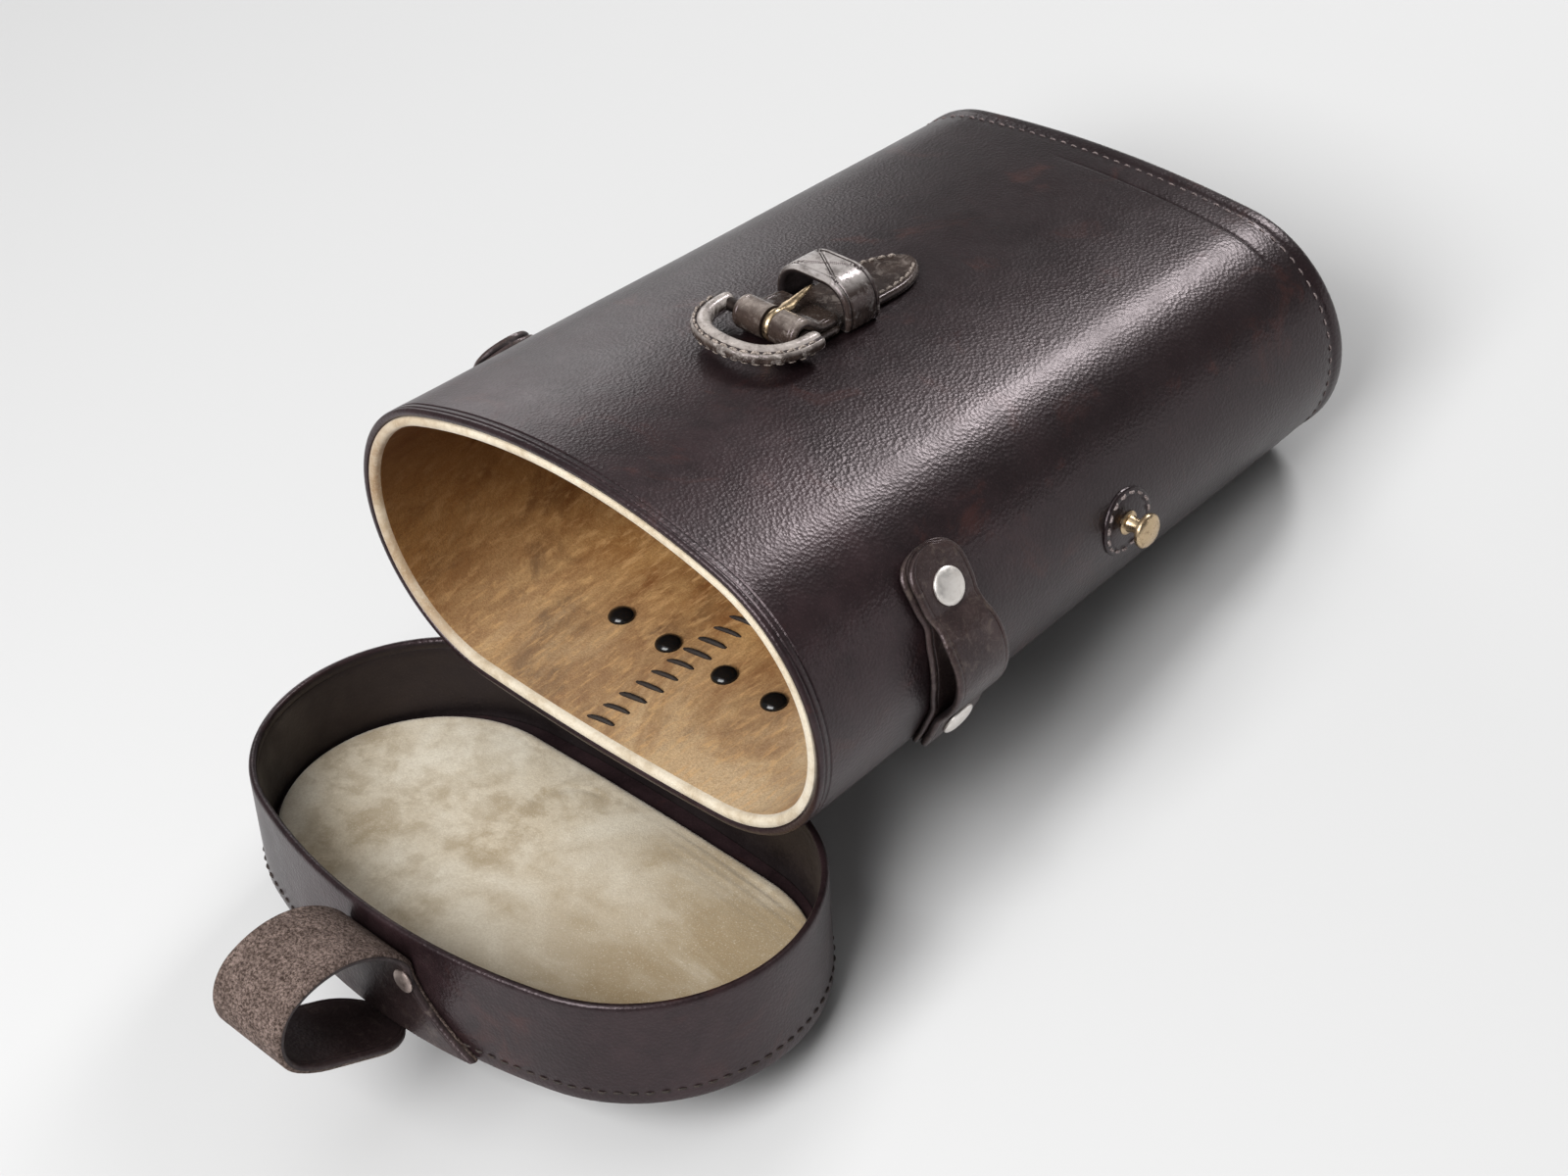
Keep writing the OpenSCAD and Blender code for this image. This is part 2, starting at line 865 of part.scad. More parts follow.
// Ring of the pad: inset from its widest line, and height
pad_fit = 0.6;
function pad_ring(i, z) =
  let (
    back = (pad_back_gap - pad_fit) / 2,
    half = lid_b - pad_fit - back - i,
    low = lid_back + 0.8 * back,
    pts = oval_pts(lid_a - pad_fit - i, half, half - low - 0.5, low),
    n = len(pts)
  )
  [for (k = [n - 1:-1:0]) [pts[k][0], pts[k][1] - lid_mid - back, z]];

module lid_pad() {
  low = lid_plate_t + seat;
  rim = lid_flange_h + seat;
  color("#c9bb9d")
    lid_place()
      loft([
        pad_ring(1.7, low),
        pad_ring(1.7, rim - 0.05),
        pad_ring(0.15, rim),
        pad_ring(0, rim + 0.6),
        pad_ring(0.9, pad_top - 0.85),
        pad_ring(3.6, pad_top - 0.55),
        pad_ring(5.2, pad_top - 0.5),
        pad_ring(14, pad_top - 0.15),
        pad_ring(31, pad_top)
      ]);
}

// Flared root of the strap on the lid's front wall, with the first part of its curl
root_low = 0.9;
module strap_root() {
  s = 10;
  top = strap_leave + 1;
  half = root_w / 2;
  narrow = strap_w / 2 - 0.4;
  side = [for (i = [0:s]) [
    narrow + (half - narrow) * pow(1 - i / s, 1.8),
    root_low + (top - root_low) * i / s
  ]];
  color("#352c2b")
    lid_place()
      difference() {
        union() {
          intersection() {
            linear_extrude(top + 5)
              difference() {
                lid_oval(lid_wall_t + seat + strap_t);
                lid_oval(lid_wall_t + seat);
              }
            translate([strap_x, -lid_mid, 0])
              rotate([90, 0, 0])
                linear_extrude(100)
                  polygon(concat(side, [for (i = [s:-1:0]) [-side[i][0], side[i][1]]]));
          }
          across(strap_w, strap_x)
            curl_side(0, turn[1] + flex_end, [p0 - [strap_t, 6], p0 - [0, 6]]);
        }
        linear_extrude(lid_h)
          lid_oval(lid_wall_t + seat);
        lid_rivet_holes();
      }
}

module strap_rivets() {
  color("#9c968e")
    lid_place()
      for (s = [-1, 1])
        translate([strap_x + s * strap_rivet_gap / 2, wall_y, strap_rivet_z])
          rotate([90, 0, 0]) {
            translate([0, 0, -lid_wall_t - 1.2])
              cylinder(h = lid_wall_t + strap_t + 1.6, r = shank_r);
            translate([0, 0, strap_t + 0.1])
              cylinder(h = 0.5, r = strap_cap_d / 2);
            translate([0, 0, strap_t + 0.6])
              dome(strap_cap_d, 0.8);
          }
}

// The free, curled part of the strap
module strap_tail() {
  s = 12;
  w = strap_w / 2;
  flat = tip_len - 15;
  side = [for (i = [0:s]) [w * pow(1 - pow(i / s, 2.2), 0.6), flat + (tip_len - flat) * i / s]];
  end = tip_len * unit(curl_h[4]);
  start = turn[1] + flex_a;
  color("#40342f")
    lid_place()
      difference() {
        union() {
          across(strap_w, strap_x)
            curl_side(start, turn[4], [], [p4 + end, p4 + end + strap_t * unit(curl_h[4] + 90)]);
          translate([strap_x - strap_w / 2, flex[0], flex[1]])
            rotate([0, 90, 0])
              cylinder(h = strap_w, r = strap_t / 2 + 0.1);
        }
        translate([strap_x, p4[0], p4[1]])
          rotate([curl_h[4], 0, 0])
            translate([0, 0, -1])
              linear_extrude(strap_t + 2)
                difference() {
                  translate([-w - 2, flat])
                    square([2 * w + 4, tip_len]);
                  polygon(concat(
                    [[-w - 3, flat - 1], [w + 3, flat - 1], [w + 3, flat]],
                    side,
                    [for (i = [s - 1:-1:0]) [-side[i][0], side[i][1]]],
                    [[-w - 3, flat]]
                  ));
                }
      }
}

body_shell();
body_lining();
base_plate();
base_lining();
hinge_flap();
hinge_rivets();
buckle_tab();
keeper_loop();
buckle_wire();
buckle_cover();
buckle_prong();
loop_backing_right();
loop_backing_left();
strap_loop_right();
strap_loop_left();
loop_rivets_right();
loop_rivets_left();
stud_patch_right();
stud_patch_left();
stud_right();
stud_left();
lid_wall();
lid_plate();
lid_pad();
strap_root();
strap_rivets();
strap_tail();
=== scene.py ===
"""Looks of the open leather binocular case, drawn round its packed construction."""

import math
import random

import bmesh
import bpy
import numpy as np
from mathutils import Matrix, Vector


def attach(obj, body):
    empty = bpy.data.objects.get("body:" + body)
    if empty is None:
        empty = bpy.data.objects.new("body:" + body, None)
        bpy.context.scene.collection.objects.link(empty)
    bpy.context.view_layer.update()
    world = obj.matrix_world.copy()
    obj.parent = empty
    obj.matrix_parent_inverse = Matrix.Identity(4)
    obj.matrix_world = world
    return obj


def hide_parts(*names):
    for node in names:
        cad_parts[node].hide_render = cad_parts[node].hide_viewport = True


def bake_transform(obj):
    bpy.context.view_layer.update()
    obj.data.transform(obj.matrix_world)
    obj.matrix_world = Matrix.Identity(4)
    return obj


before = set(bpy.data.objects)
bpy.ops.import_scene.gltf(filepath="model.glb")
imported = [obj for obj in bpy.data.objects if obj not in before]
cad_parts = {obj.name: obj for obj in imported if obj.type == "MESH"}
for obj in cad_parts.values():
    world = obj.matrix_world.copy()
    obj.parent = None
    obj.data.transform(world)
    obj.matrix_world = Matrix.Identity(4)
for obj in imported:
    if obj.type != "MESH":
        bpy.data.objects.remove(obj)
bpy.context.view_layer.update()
rng = random.Random(11)

# ---------------------------------------------------------------- sizes, millimetres and degrees
BODY_LEN = 191.4
MOUTH = (77.0, 42.4, 38.7, -2.4)
BASE = (71.3, 33.0, 31.7, -1.1)
BASE_MID = 40.6
SHELL, LINING = 2.0, 2.6
LID = (78.2, 44.1, 40.5, 2.14)
LID_MID, LID_H, LID_WALL = 43.5, 28.9, 2.0
TILT, LIFT, SHIFT = 13.061422, 35.852157, -47.953635
HINGE = (20.4, -1.57)
HINGE_LID = (1.5, 30.6)
LID_TURN = -2.98
BUCKLE_X, BAR_Y, BAR_H = 1.6, 67.5, 4.25
FRONT_0, FRONT_1 = 84.8, 73.6
BACK_1 = 7.6
STRAP_W, STRAP_X, STRAP_T = 24.0, 3.0, 2.4
CURL_R = (6.5, 23.8, 11.9, 33.4)
CURL_A = (35.6, 79.4, 117.0, 15.5)
STRAP_LEAVE, TIP_LEN, FLEX_A = 20.5, 28.0, 15.0
LOOP_Y, STUD_Y = 43.0, 103.8


# ---------------------------------------------------------------- places
def move(x, y, z):
    return Matrix.Translation((x, y, z))


def spin(angle, axis):
    return Matrix.Rotation(math.radians(angle), 4, axis)


REST = move(0, SHIFT, LIFT) @ spin(-TILT, "X")
LIDM = REST @ move(0, *HINGE) @ spin(LID_TURN, "X") @ move(0, -HINGE_LID[0], -HINGE_LID[1])
FRONT = (REST @ move(BUCKLE_X, BAR_Y, FRONT_0 + (FRONT_1 - FRONT_0) * BAR_Y / BODY_LEN)
         @ spin(math.degrees(math.atan((FRONT_1 - FRONT_0) / BODY_LEN)), "X"))


def side_place(y, s):
    t = y / BODY_LEN
    cx = (MOUTH[0] - MOUTH[2]) * (1 - t) + (BASE[0] - BASE[2]) * t
    cz = (MOUTH[1] + MOUTH[3]) * (1 - t) + (BASE_MID + BASE[3]) * t
    yaw = math.degrees(math.atan((MOUTH[0] - BASE[0]) / BODY_LEN))
    return REST @ Matrix.Diagonal((s, 1, 1, 1)) @ move(cx, y, cz) @ spin(yaw, "Z")


def side_r(y):
    return MOUTH[2] + (BASE[2] - MOUTH[2]) * y / BODY_LEN


def unit(a):
    return np.array([math.cos(math.radians(a)), math.sin(math.radians(a))])


# ---------------------------------------------------------------- outlines
def wide(a, r, s):
    return ((a - r) ** 2 + s * s - r * r) / (2 * (s - r))


def oval(a, b, r, c, n=(52, 44, 52, 40)):
    """Four-arc oval, anticlockwise from the lower right."""
    st, sb = b - c, b + c
    rt, rb = wide(a, r, st), wide(a, r, sb)
    tt, tb = math.atan2(rt - st, a - r), math.atan2(rb - sb, a - r)
    arcs = ((a - r, c, r, -tb, tt),
            (0, c + st - rt, rt, tt, math.pi - tt),
            (r - a, c, r, math.pi - tt, math.pi + tb),
            (0, c - sb + rb, rb, math.pi + tb, 2 * math.pi - tb))
    out = []
    for (cx, cy, rr, p, q), k in zip(arcs, n):
        t = p + (q - p) * np.arange(k) / k
        out.append(np.c_[cx + rr * np.cos(t), cy + rr * np.sin(t)])
    return np.concatenate(out)


def body_ring(y, g, n=(52, 44, 52, 40)):
    """Outline of the tapered body at y, grown outwards by g."""
    m = oval(MOUTH[0] + g, MOUTH[1] + g, MOUTH[2] + g, MOUTH[3], n)
    e = oval(BASE[0] + g, BASE[1] + g, BASE[2] + g, BASE[3], n)
    t = y / BODY_LEN
    p = m * (1 - t) + e * t
    z = (m[:, 1] + MOUTH[1]) * (1 - t) + (e[:, 1] + BASE_MID) * t
    return np.c_[p[:, 0], np.full(len(p), float(y)), z]


def lid_ring(z, g, n=(52, 44, 52, 44)):
    p = oval(LID[0] + g, LID[1] + g, LID[2] + g, LID[3], n)
    return np.c_[p[:, 0], p[:, 1] - LID_MID, np.full(len(p), float(z))]


def back_z(x, y):
    """Height of the back panel's outer face."""
    m = wide(MOUTH[0], MOUTH[2], MOUTH[1] + MOUTH[3])
    e = wide(BASE[0], BASE[2], BASE[1] + BASE[3])
    t = y / BODY_LEN
    rise = (m - np.sqrt(m * m - x * x)) * (1 - t) + (e - np.sqrt(e * e - x * x)) * t
    return BACK_1 * t + rise


# ---------------------------------------------------------------- meshes
def build(name, verts, faces, place, body, looks, nodes=(), marks=None, angle=38):
    """One mesh from points in a local frame in millimetres."""
    v = np.asarray(verts, float).reshape(-1, 3)
    m = np.array(place)
    v = (v @ m[:3, :3].T + m[:3, 3]) * 0.001
    mesh = bpy.data.meshes.new(name)
    mesh.from_pydata(v.tolist(), [], [tuple(int(i) for i in f) for f in faces])
    looks = looks if isinstance(looks, (list, tuple)) else [looks]
    for k in looks:
        mesh.materials.append(k)
    if marks is not None:
        mesh.polygons.foreach_set("material_index", np.asarray(marks, np.int32))
    b = bmesh.new()
    b.from_mesh(mesh)
    bmesh.ops.remove_doubles(b, verts=b.verts, dist=1e-7)
    bmesh.ops.recalc_face_normals(b, faces=b.faces)
    b.to_mesh(mesh)
    b.free()
    mesh.polygons.foreach_set("use_smooth", np.ones(len(mesh.polygons), bool))
    mesh.set_sharp_from_angle(angle=math.radians(angle))
    obj = bpy.data.objects.new(name, mesh)
    bpy.context.scene.collection.objects.link(obj)
    if body:
        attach(obj, body)
    if nodes:
        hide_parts(*nodes)
    return obj


def cells(rows, cols, wrap_rows=False, wrap_cols=True):
    i, j = np.meshgrid(np.arange(rows if wrap_rows else rows - 1),
                       np.arange(cols if wrap_cols else cols - 1), indexing="ij")
    a, b = i * cols + j, i * cols + (j + 1) % cols
    d, c = ((i + 1) % rows) * cols + j, ((i + 1) % rows) * cols + (j + 1) % cols
    return np.stack([a, b, c, d], -1).reshape(-1, 4)


def loft(rings, wrap=False, caps=True):
    """Closed skin through equal rings, with the end rings filled by fans round their middles."""
    n = len(rings[0])
    verts = np.concatenate(rings)
    faces = cells(len(rings), n, wrap).tolist()
    if not wrap and caps:
        for k, ring in ((0, rings[0]), (len(rings) - 1, rings[-1])):
            mid = len(verts)
            verts = np.vstack([verts, ring.mean(0)])
            faces += [(k * n + i, k * n + (i + 1) % n, mid) for i in range(n)]
    return verts, faces


def slab(top, bottom, wrap=False, keep=None):
    """Solid between two grids of points; returns points, faces and 0 for top, 1 for bottom, 2 for edges."""
    r, c = top.shape[:2]
    k = r * c
    rows = r if wrap else r - 1
    keep = np.ones((rows, c - 1), bool) if keep is None else keep
    verts = np.concatenate([top.reshape(-1, 3), bottom.reshape(-1, 3)])
    faces, marks = [], []
    for i in range(rows):
        for j in range(c - 1):
            if not keep[i, j]:
                continue
            n = (i + 1) % r
            q = (i * c + j, i * c + j + 1, n * c + j + 1, n * c + j)
            faces += [q, tuple(k + t for t in reversed(q))]
            marks += [0, 1]
            for di, dj, a, b in ((-1, 0, 0, 1), (0, 1, 1, 2), (1, 0, 2, 3), (0, -1, 3, 0)):
                ii, jj = i + di, j + dj
                if wrap:
                    ii %= r
                if not (0 <= ii < rows and 0 <= jj < c - 1 and keep[ii, jj]):
                    faces.append((q[b], q[a], k + q[a], k + q[b]))
                    marks.append(2)
    return verts, faces, marks


EDGE = np.array([0, 0.18, 0.45, 0.85, 1.25, 1.45, 1.6, 1.75, 1.95, 2.6])


def strip(rows, groove=0.14, inner=14, press=None, soft=1.0):
    """Grids of a leather strip. A row is (middle, across, up, half width, thickness)."""
    top, bottom = [], []
    for i, (mid, across, up, w, t) in enumerate(rows):
        k = min(1.0, w / 4.2)
        d = EDGE * k
        x = np.concatenate([-(w - d), np.linspace(-(w - d[-1]), w - d[-1], inner + 2)[1:-1], (w - d)[::-1]])
        far = w - np.abs(x)
        cut = 0.42 * t * soft * np.clip(1 - far / (0.75 * k), 0, 1) ** 2
        line = groove * np.exp(-((far - 1.6 * k) / (0.13 * k)) ** 2) * (w > 3)
        mid, across, up = (np.asarray(q, float) for q in (mid, across, up))
        base = mid + across * x[:, None]
        extra = press(i, x) if press else 0
        top.append(base + up * (t / 2 - cut - line - extra)[:, None])
        bottom.append(base - up * (t / 2 - cut)[:, None])
    return np.array(top), np.array(bottom)


def threads(name, stitches, radius, place, body, look, dip=0.15, rise=0.25):
    """Sewing stitches: each (from, to, up) is a short thread whose ends go into the leather."""
    verts, faces = [], []
    for a, b, up in stitches:
        a, b, up = (np.asarray(q, float) for q in (a, b, up))
        d = (b - a) / np.linalg.norm(b - a)
        q = np.cross(d, up)
        k0 = len(verts)
        wob = rng.uniform(-0.15, 0.15)
        r0 = radius * rng.uniform(0.88, 1.1)
        for i in range(7):
            t = i / 6
            h = -dip + (dip + rise * r0 / 0.4) * math.sin(math.pi * t) ** 0.6
            r = r0 * (0.62 + 0.38 * math.sin(math.pi * t) ** 0.5)
            mid = a + (b - a) * t + up * h + q * wob * math.sin(math.pi * t)
            for s in range(8):
                u = 2 * math.pi * s / 8
                verts.append(mid + q * r * math.cos(u) + up * r * math.sin(u))
        for i in range(6):
            for s in range(8):
                faces.append((k0 + i * 8 + s, k0 + i * 8 + (s + 1) % 8,
                              k0 + (i + 1) * 8 + (s + 1) % 8, k0 + (i + 1) * 8 + s))
        faces.append(tuple(k0 + s for s in range(8)))
        faces.append(tuple(k0 + 48 + s for s in range(8)))
    return build(name, verts, faces, place, body, look, angle=70)


def along(points, pitch, length, closed=True, start=0.0):
    """Start and end parameters of evenly spaced stitches along a line of points."""
    p = np.asarray(points, float)
    if closed:
        p = np.vstack([p, p[:1]])
    s = np.concatenate([[0], np.cumsum(np.linalg.norm(np.diff(p, axis=0), axis=1))])
    count = max(1, int((s[-1] - start) / pitch))
    step = (s[-1] - start) / count
    at = lambda q: np.array([np.interp(q, s, p[:, k]) for k in range(3)])
    return [(at(start + i * step), at(start + i * step + length)) for i in range(count)
            if closed or start + i * step + length <= s[-1]]


def lathe(profile, n=56):
    """Turned solid about local X: profile of (x, radius), its ends on the axis."""
    rings = []
    for x, r in profile:
        u = 2 * math.pi * np.arange(n) / n
        rings.append(np.c_[np.full(n, float(x)), max(r, 1e-3) * np.cos(u), max(r, 1e-3) * np.sin(u)])
    return loft(rings)


def joined(parts):
    verts, faces = [], []
    for v, f in parts:
        k = sum(len(q) for q in verts)
        verts.append(np.asarray(v, float))
        faces += [tuple(int(i) + k for i in g) for g in f]
    return np.concatenate(verts), faces


def moved(part, m):
    v, f = part
    m = np.array(m)
    return np.asarray(v) @ m[:3, :3].T + m[:3, 3], f


# ---------------------------------------------------------------- materials
class Look:
    """A node material written step by step; textures use the object's own coordinates, in metres."""

    def __init__(self, name):
        self.mat = bpy.data.materials.new(name)
        self.mat.use_nodes = True
        self.tree = self.mat.node_tree
        self.tree.nodes.clear()
        self.out = self.tree.nodes.new("ShaderNodeOutputMaterial")
        self.bsdf = self.tree.nodes.new("ShaderNodeBsdfPrincipled")
        self.link(self.bsdf.outputs[0], self.out.inputs["Surface"])
        self.co = self.tree.nodes.new("ShaderNodeTexCoord").outputs["Object"]

    def link(self, a, b):
        self.tree.links.new(a, b)

    def put(self, socket, value):
        if isinstance(value, bpy.types.NodeSocket):
            self.link(value, socket)
        else:
            socket.default_value = value

    def set(self, **values):
        for k, v in values.items():
            self.put(self.bsdf.inputs[k.replace("_", " ")], v)

    def noise(self, scale, detail=3.0, rough=0.55, warp=0.0, vec=None):
        n = self.tree.nodes.new("ShaderNodeTexNoise")
        self.put(n.inputs["Vector"], vec or self.co)
        self.put(n.inputs["Scale"], scale)
        self.put(n.inputs["Detail"], detail)
        self.put(n.inputs["Roughness"], rough)
        self.put(n.inputs["Distortion"], warp)
        return n.outputs[0]

    def cellsize(self, scale, feature="F1", vec=None, jitter=1.0):
        n = self.tree.nodes.new("ShaderNodeTexVoronoi")
        n.feature = feature
        self.put(n.inputs["Vector"], vec or self.co)
        self.put(n.inputs["Scale"], scale)
        self.put(n.inputs["Randomness"], jitter)
        return n.outputs["Distance"]

    def stretch(self, x, y, z):
        n = self.tree.nodes.new("ShaderNodeMapping")
        self.link(self.co, n.inputs["Vector"])
        n.inputs["Scale"].default_value = (x, y, z)
        return n.outputs[0]

    def fit(self, value, a, b, c=0.0, d=1.0):
        n = self.tree.nodes.new("ShaderNodeMapRange")
        n.interpolation_type = "SMOOTHSTEP"
        self.put(n.inputs["Value"], value)
        for k, v in (("From Min", a), ("From Max", b), ("To Min", c), ("To Max", d)):
            self.put(n.inputs[k], v)
        return n.outputs[0]

    def maths(self, kind, a, b=0.0):
        n = self.tree.nodes.new("ShaderNodeMath")
        n.operation = kind
        self.put(n.inputs[0], a)
        self.put(n.inputs[1], b)
        return n.outputs[0]

    def mix(self, fac, a, b):
        n = self.tree.nodes.new("ShaderNodeMix")
        n.data_type = "RGBA"
        self.put(n.inputs[0], fac)
        for i, v in ((6, a), (7, b)):
            self.put(n.inputs[i], v if isinstance(v, bpy.types.NodeSocket) else (*v, 1.0))
        return n.outputs[2]

    def bump(self, height, distance, strength=1.0, under=None):
        n = self.tree.nodes.new("ShaderNodeBump")
        self.put(n.inputs["Height"], height)
        self.put(n.inputs["Distance"], distance)
        self.put(n.inputs["Strength"], strength)
        if under:
            self.link(under, n.inputs["Normal"])
        return n.outputs[0]

    def axis(self, k):
        n = self.tree.nodes.new("ShaderNodeSeparateXYZ")
        self.link(self.co, n.inputs[0])
        return n.outputs[k]


def leather(name, dark, light, red=0.0, rough=(0.36, 0.52), grain=1.0, worn=0.0, spec=0.5, wear_and_highlight_tone=(0.2, 0.16, 0.13),
            far=None, crest=None):
    m = Look(name)
    big = m.noise(26, 5, 0.6, 0.6)
    small = m.noise(210, 4, 0.6)
    colour = m.mix(m.fit(m.maths("ADD", m.maths("MULTIPLY", big, 0.7), m.maths("MULTIPLY", small, 0.3)), 0.36, 0.66),
                   dark, light)
    # painted shade: darker towards the base end along Y, in place of the dimmer reflection there
    if far:
        colour = m.mix(m.fit(m.axis(1), -0.05, 0.13, 0.0, 0.75), colour, far)
    if red:
        patch = m.fit(m.noise(48, 5, 0.65, 1.2), 0.56, 0.74, 0.0, red)
        colour = m.mix(patch, colour, (0.085, 0.026, 0.018))
    if worn:
        scuff = m.fit(m.noise(330, 6, 0.72, 0.8), 0.5, 0.68, 0.0, worn)
        colour = m.mix(scuff, colour, wear_and_highlight_tone)
    if crest:
        # paler where it stands up from the front panel: rub wear there, and a painted highlight on the top
        n = FRONT.to_3x3() @ Vector((0, 0, 1))
        high = m.maths("ADD", m.maths("MULTIPLY", m.axis(1), n.y), m.maths("MULTIPLY", m.axis(2), n.z))
        start = n.dot(FRONT.translation) * 0.001
        rub_and_highlight = m.fit(high, start + crest[0], start + crest[1], 0.0, 0.62)
        rub_and_highlight = m.maths("MULTIPLY", rub_and_highlight, m.fit(m.noise(260, 5, 0.7, 0.4), 0.34, 0.6, 0.35, 1.0))
        colour = m.mix(rub_and_highlight, colour, wear_and_highlight_tone)
    pore = m.fit(m.noise(2600, 2, 0.5), 0.58, 0.76, 0.0, 0.35)
    colour = m.mix(pore, colour, tuple(min(1, 2.6 * v + 0.012) for v in light))
    m.set(Base_Color=colour, Roughness=m.fit(m.noise(75, 5, 0.65), 0.3, 0.72, rough[0], rough[1]))
    m.bsdf.inputs["Specular IOR Level"].default_value = spec
    m.bsdf.inputs["Specular Tint"].default_value = (1.0, 0.84, 0.88, 1.0)
    folds = m.bump(m.noise(60, 2, 0.45, 0.3), 0.0006, 0.07 * grain)
    cell = m.bump(m.cellsize(1150, "F1"), 0.00022, 0.3 * grain, folds)
    fine = m.bump(m.noise(2300, 3, 0.6), 0.00012, 0.22 * grain, cell)
    m.set(Normal=fine)
    return m.mat


def suede(name, low, mid, high, blotch=34, rough=0.95, mottle=0.0, tone_along_x=None):
    m = Look(name)
    big = m.fit(m.noise(blotch, 4, 0.6, 0.35), 0.32, 0.68)
    med = m.fit(m.noise(blotch * 3.6, 5, 0.66, 0.2), 0.3, 0.7)
    colour = m.mix(big, mid, high)
    colour = m.mix(m.maths("MULTIPLY", m.maths("SUBTRACT", 1.0, big), m.fit(med, 0.15, 1.0, 0.1, 0.95)), colour, low)
    if tone_along_x:
        # darker towards one end of X
        start, end, most, tone = tone_along_x
        along_x_mask = m.fit(m.axis(0), start, end, 0.0, most)
        along_x_mask = m.maths("MULTIPLY", along_x_mask, m.fit(m.noise(blotch * 0.8, 5, 0.66, 0.5), 0.34, 0.62, 0.35, 1.0))
        colour = m.mix(along_x_mask, colour, tone)
    nap = m.fit(m.noise(1500, 3, 0.65), 0.3, 0.72, 0.0, 0.3 + mottle)
    colour = m.mix(nap, colour, low)
    pale = m.fit(m.noise(2100, 2, 0.6), 0.55, 0.75, 0.0, 0.4)
    colour = m.mix(pale, colour, high)
    m.set(Base_Color=colour, Roughness=rough)
    m.bsdf.inputs["Specular IOR Level"].default_value = 0.12
    m.bsdf.inputs["Sheen Weight"].default_value = 0.3
    m.bsdf.inputs["Sheen Roughness"].default_value = 0.5
    soft = m.bump(m.noise(140, 4, 0.6), 0.0008, 0.35)
    m.set(Normal=m.bump(m.noise(2400, 4, 0.7), 0.0002, 0.55, soft))
    return m.mat


def metal(name, colour, tarnish, rough=(0.18, 0.4), stain=0.5):
    m = Look(name)
    spots = m.fit(m.noise(420, 5, 0.7, 0.5), 0.48, 0.74, 0.0, stain)
    m.set(Base_Color=m.mix(spots, colour, tarnish), Metallic=m.fit(spots, 0.0, 1.0, 1.0, 0.7),
          Roughness=m.fit(m.noise(800, 4, 0.6), 0.3, 0.7, rough[0], rough[1]))
    m.set(Normal=m.bump(m.noise(1500, 2, 0.5), 0.00004, 0.2))
    return m.mat


def thread(name, dark, light):
    m = Look(name)
    ply = m.fit(m.noise(2600, 2, 0.5, 0.4), 0.36, 0.64)
    m.set(Base_Color=m.mix(ply, dark, light), Roughness=m.fit(ply, 0.0, 1.0, 0.6, 0.8))
    m.set(Normal=m.bump(m.noise(5200, 2, 0.5), 0.0001, 0.7))
    return m.mat


# the shell's far colour is painted shade towards the base end
shell_look = leather("shell_leather", (0.0085, 0.0046, 0.0052), (0.027, 0.0148, 0.0164), red=0.28, rough=(0.3, 0.37),
                     far=(0.0065, 0.0036, 0.004))
trim_look = leather("trim_leather", (0.011, 0.0066, 0.0066), (0.034, 0.0215, 0.0212), red=0.12, worn=0.22)
# keeper, frame and tab: the crest range lightens their tops, part rub wear and part painted highlight
worn_highlit_look = leather("keeper_worn_highlit_leather", (0.016, 0.0105, 0.009), (0.06, 0.042, 0.036), worn=0.3, grain=0.5,
                    rough=(0.19, 0.29), wear_and_highlight_tone=(0.58, 0.54, 0.52), crest=(0.0088, 0.012))
frame_look = leather("frame_worn_highlit_leather", (0.022, 0.0145, 0.0115), (0.085, 0.062, 0.051), worn=0.6, grain=0.6,
                     rough=(0.2, 0.3), wear_and_highlight_tone=(0.62, 0.56, 0.52), crest=(0.0042, 0.0063))
tab_look = leather("tab_leather", (0.02, 0.013, 0.0105), (0.07, 0.049, 0.04), worn=0.3, grain=0.6,
                   rough=(0.19, 0.32), wear_and_highlight_tone=(0.42, 0.36, 0.32), crest=(0.0064, 0.0088))
loop_look = leather("loop_leather", (0.02, 0.0125, 0.012), (0.055, 0.037, 0.0345), worn=0.25, red=0.12,
                    rough=(0.28, 0.42))
# near-black leather for the lid's inner wall and the insides of the keeper and side loops: painted shade
inner_shade_look = leather("inner_painted_shade", (0.0048, 0.0034, 0.0034), (0.0105, 0.0074, 0.0072), rough=(0.4, 0.6), grain=0.7)
edge_look = leather("cut_edge", (0.007, 0.005, 0.005), (0.03, 0.022, 0.019), rough=(0.4, 0.6), worn=0.2)


def flesh_look():
    """Rough split side of the strap: short pale fibres over a brown ground."""
    m = Look("strap_flesh")
    fibre = m.fit(m.noise(1500, 6, 0.75, 0.3), 0.36, 0.66)
    clump = m.fit(m.noise(240, 5, 0.7, 0.4), 0.3, 0.7)
    colour = m.mix(m.maths("MULTIPLY", fibre, m.fit(clump, 0.0, 1.0, 0.55, 1.0)), (0.04, 0.024, 0.018),
                   (0.36, 0.27, 0.235))
    m.set(Base_Color=colour, Roughness=0.88)
    m.bsdf.inputs["Specular IOR Level"].default_value = 0.2
    rough = m.bump(m.noise(700, 6, 0.75), 0.0009, 0.8)
    m.set(Normal=m.bump(m.noise(2600, 4, 0.7), 0.0003, 0.8, rough))
    return m.mat


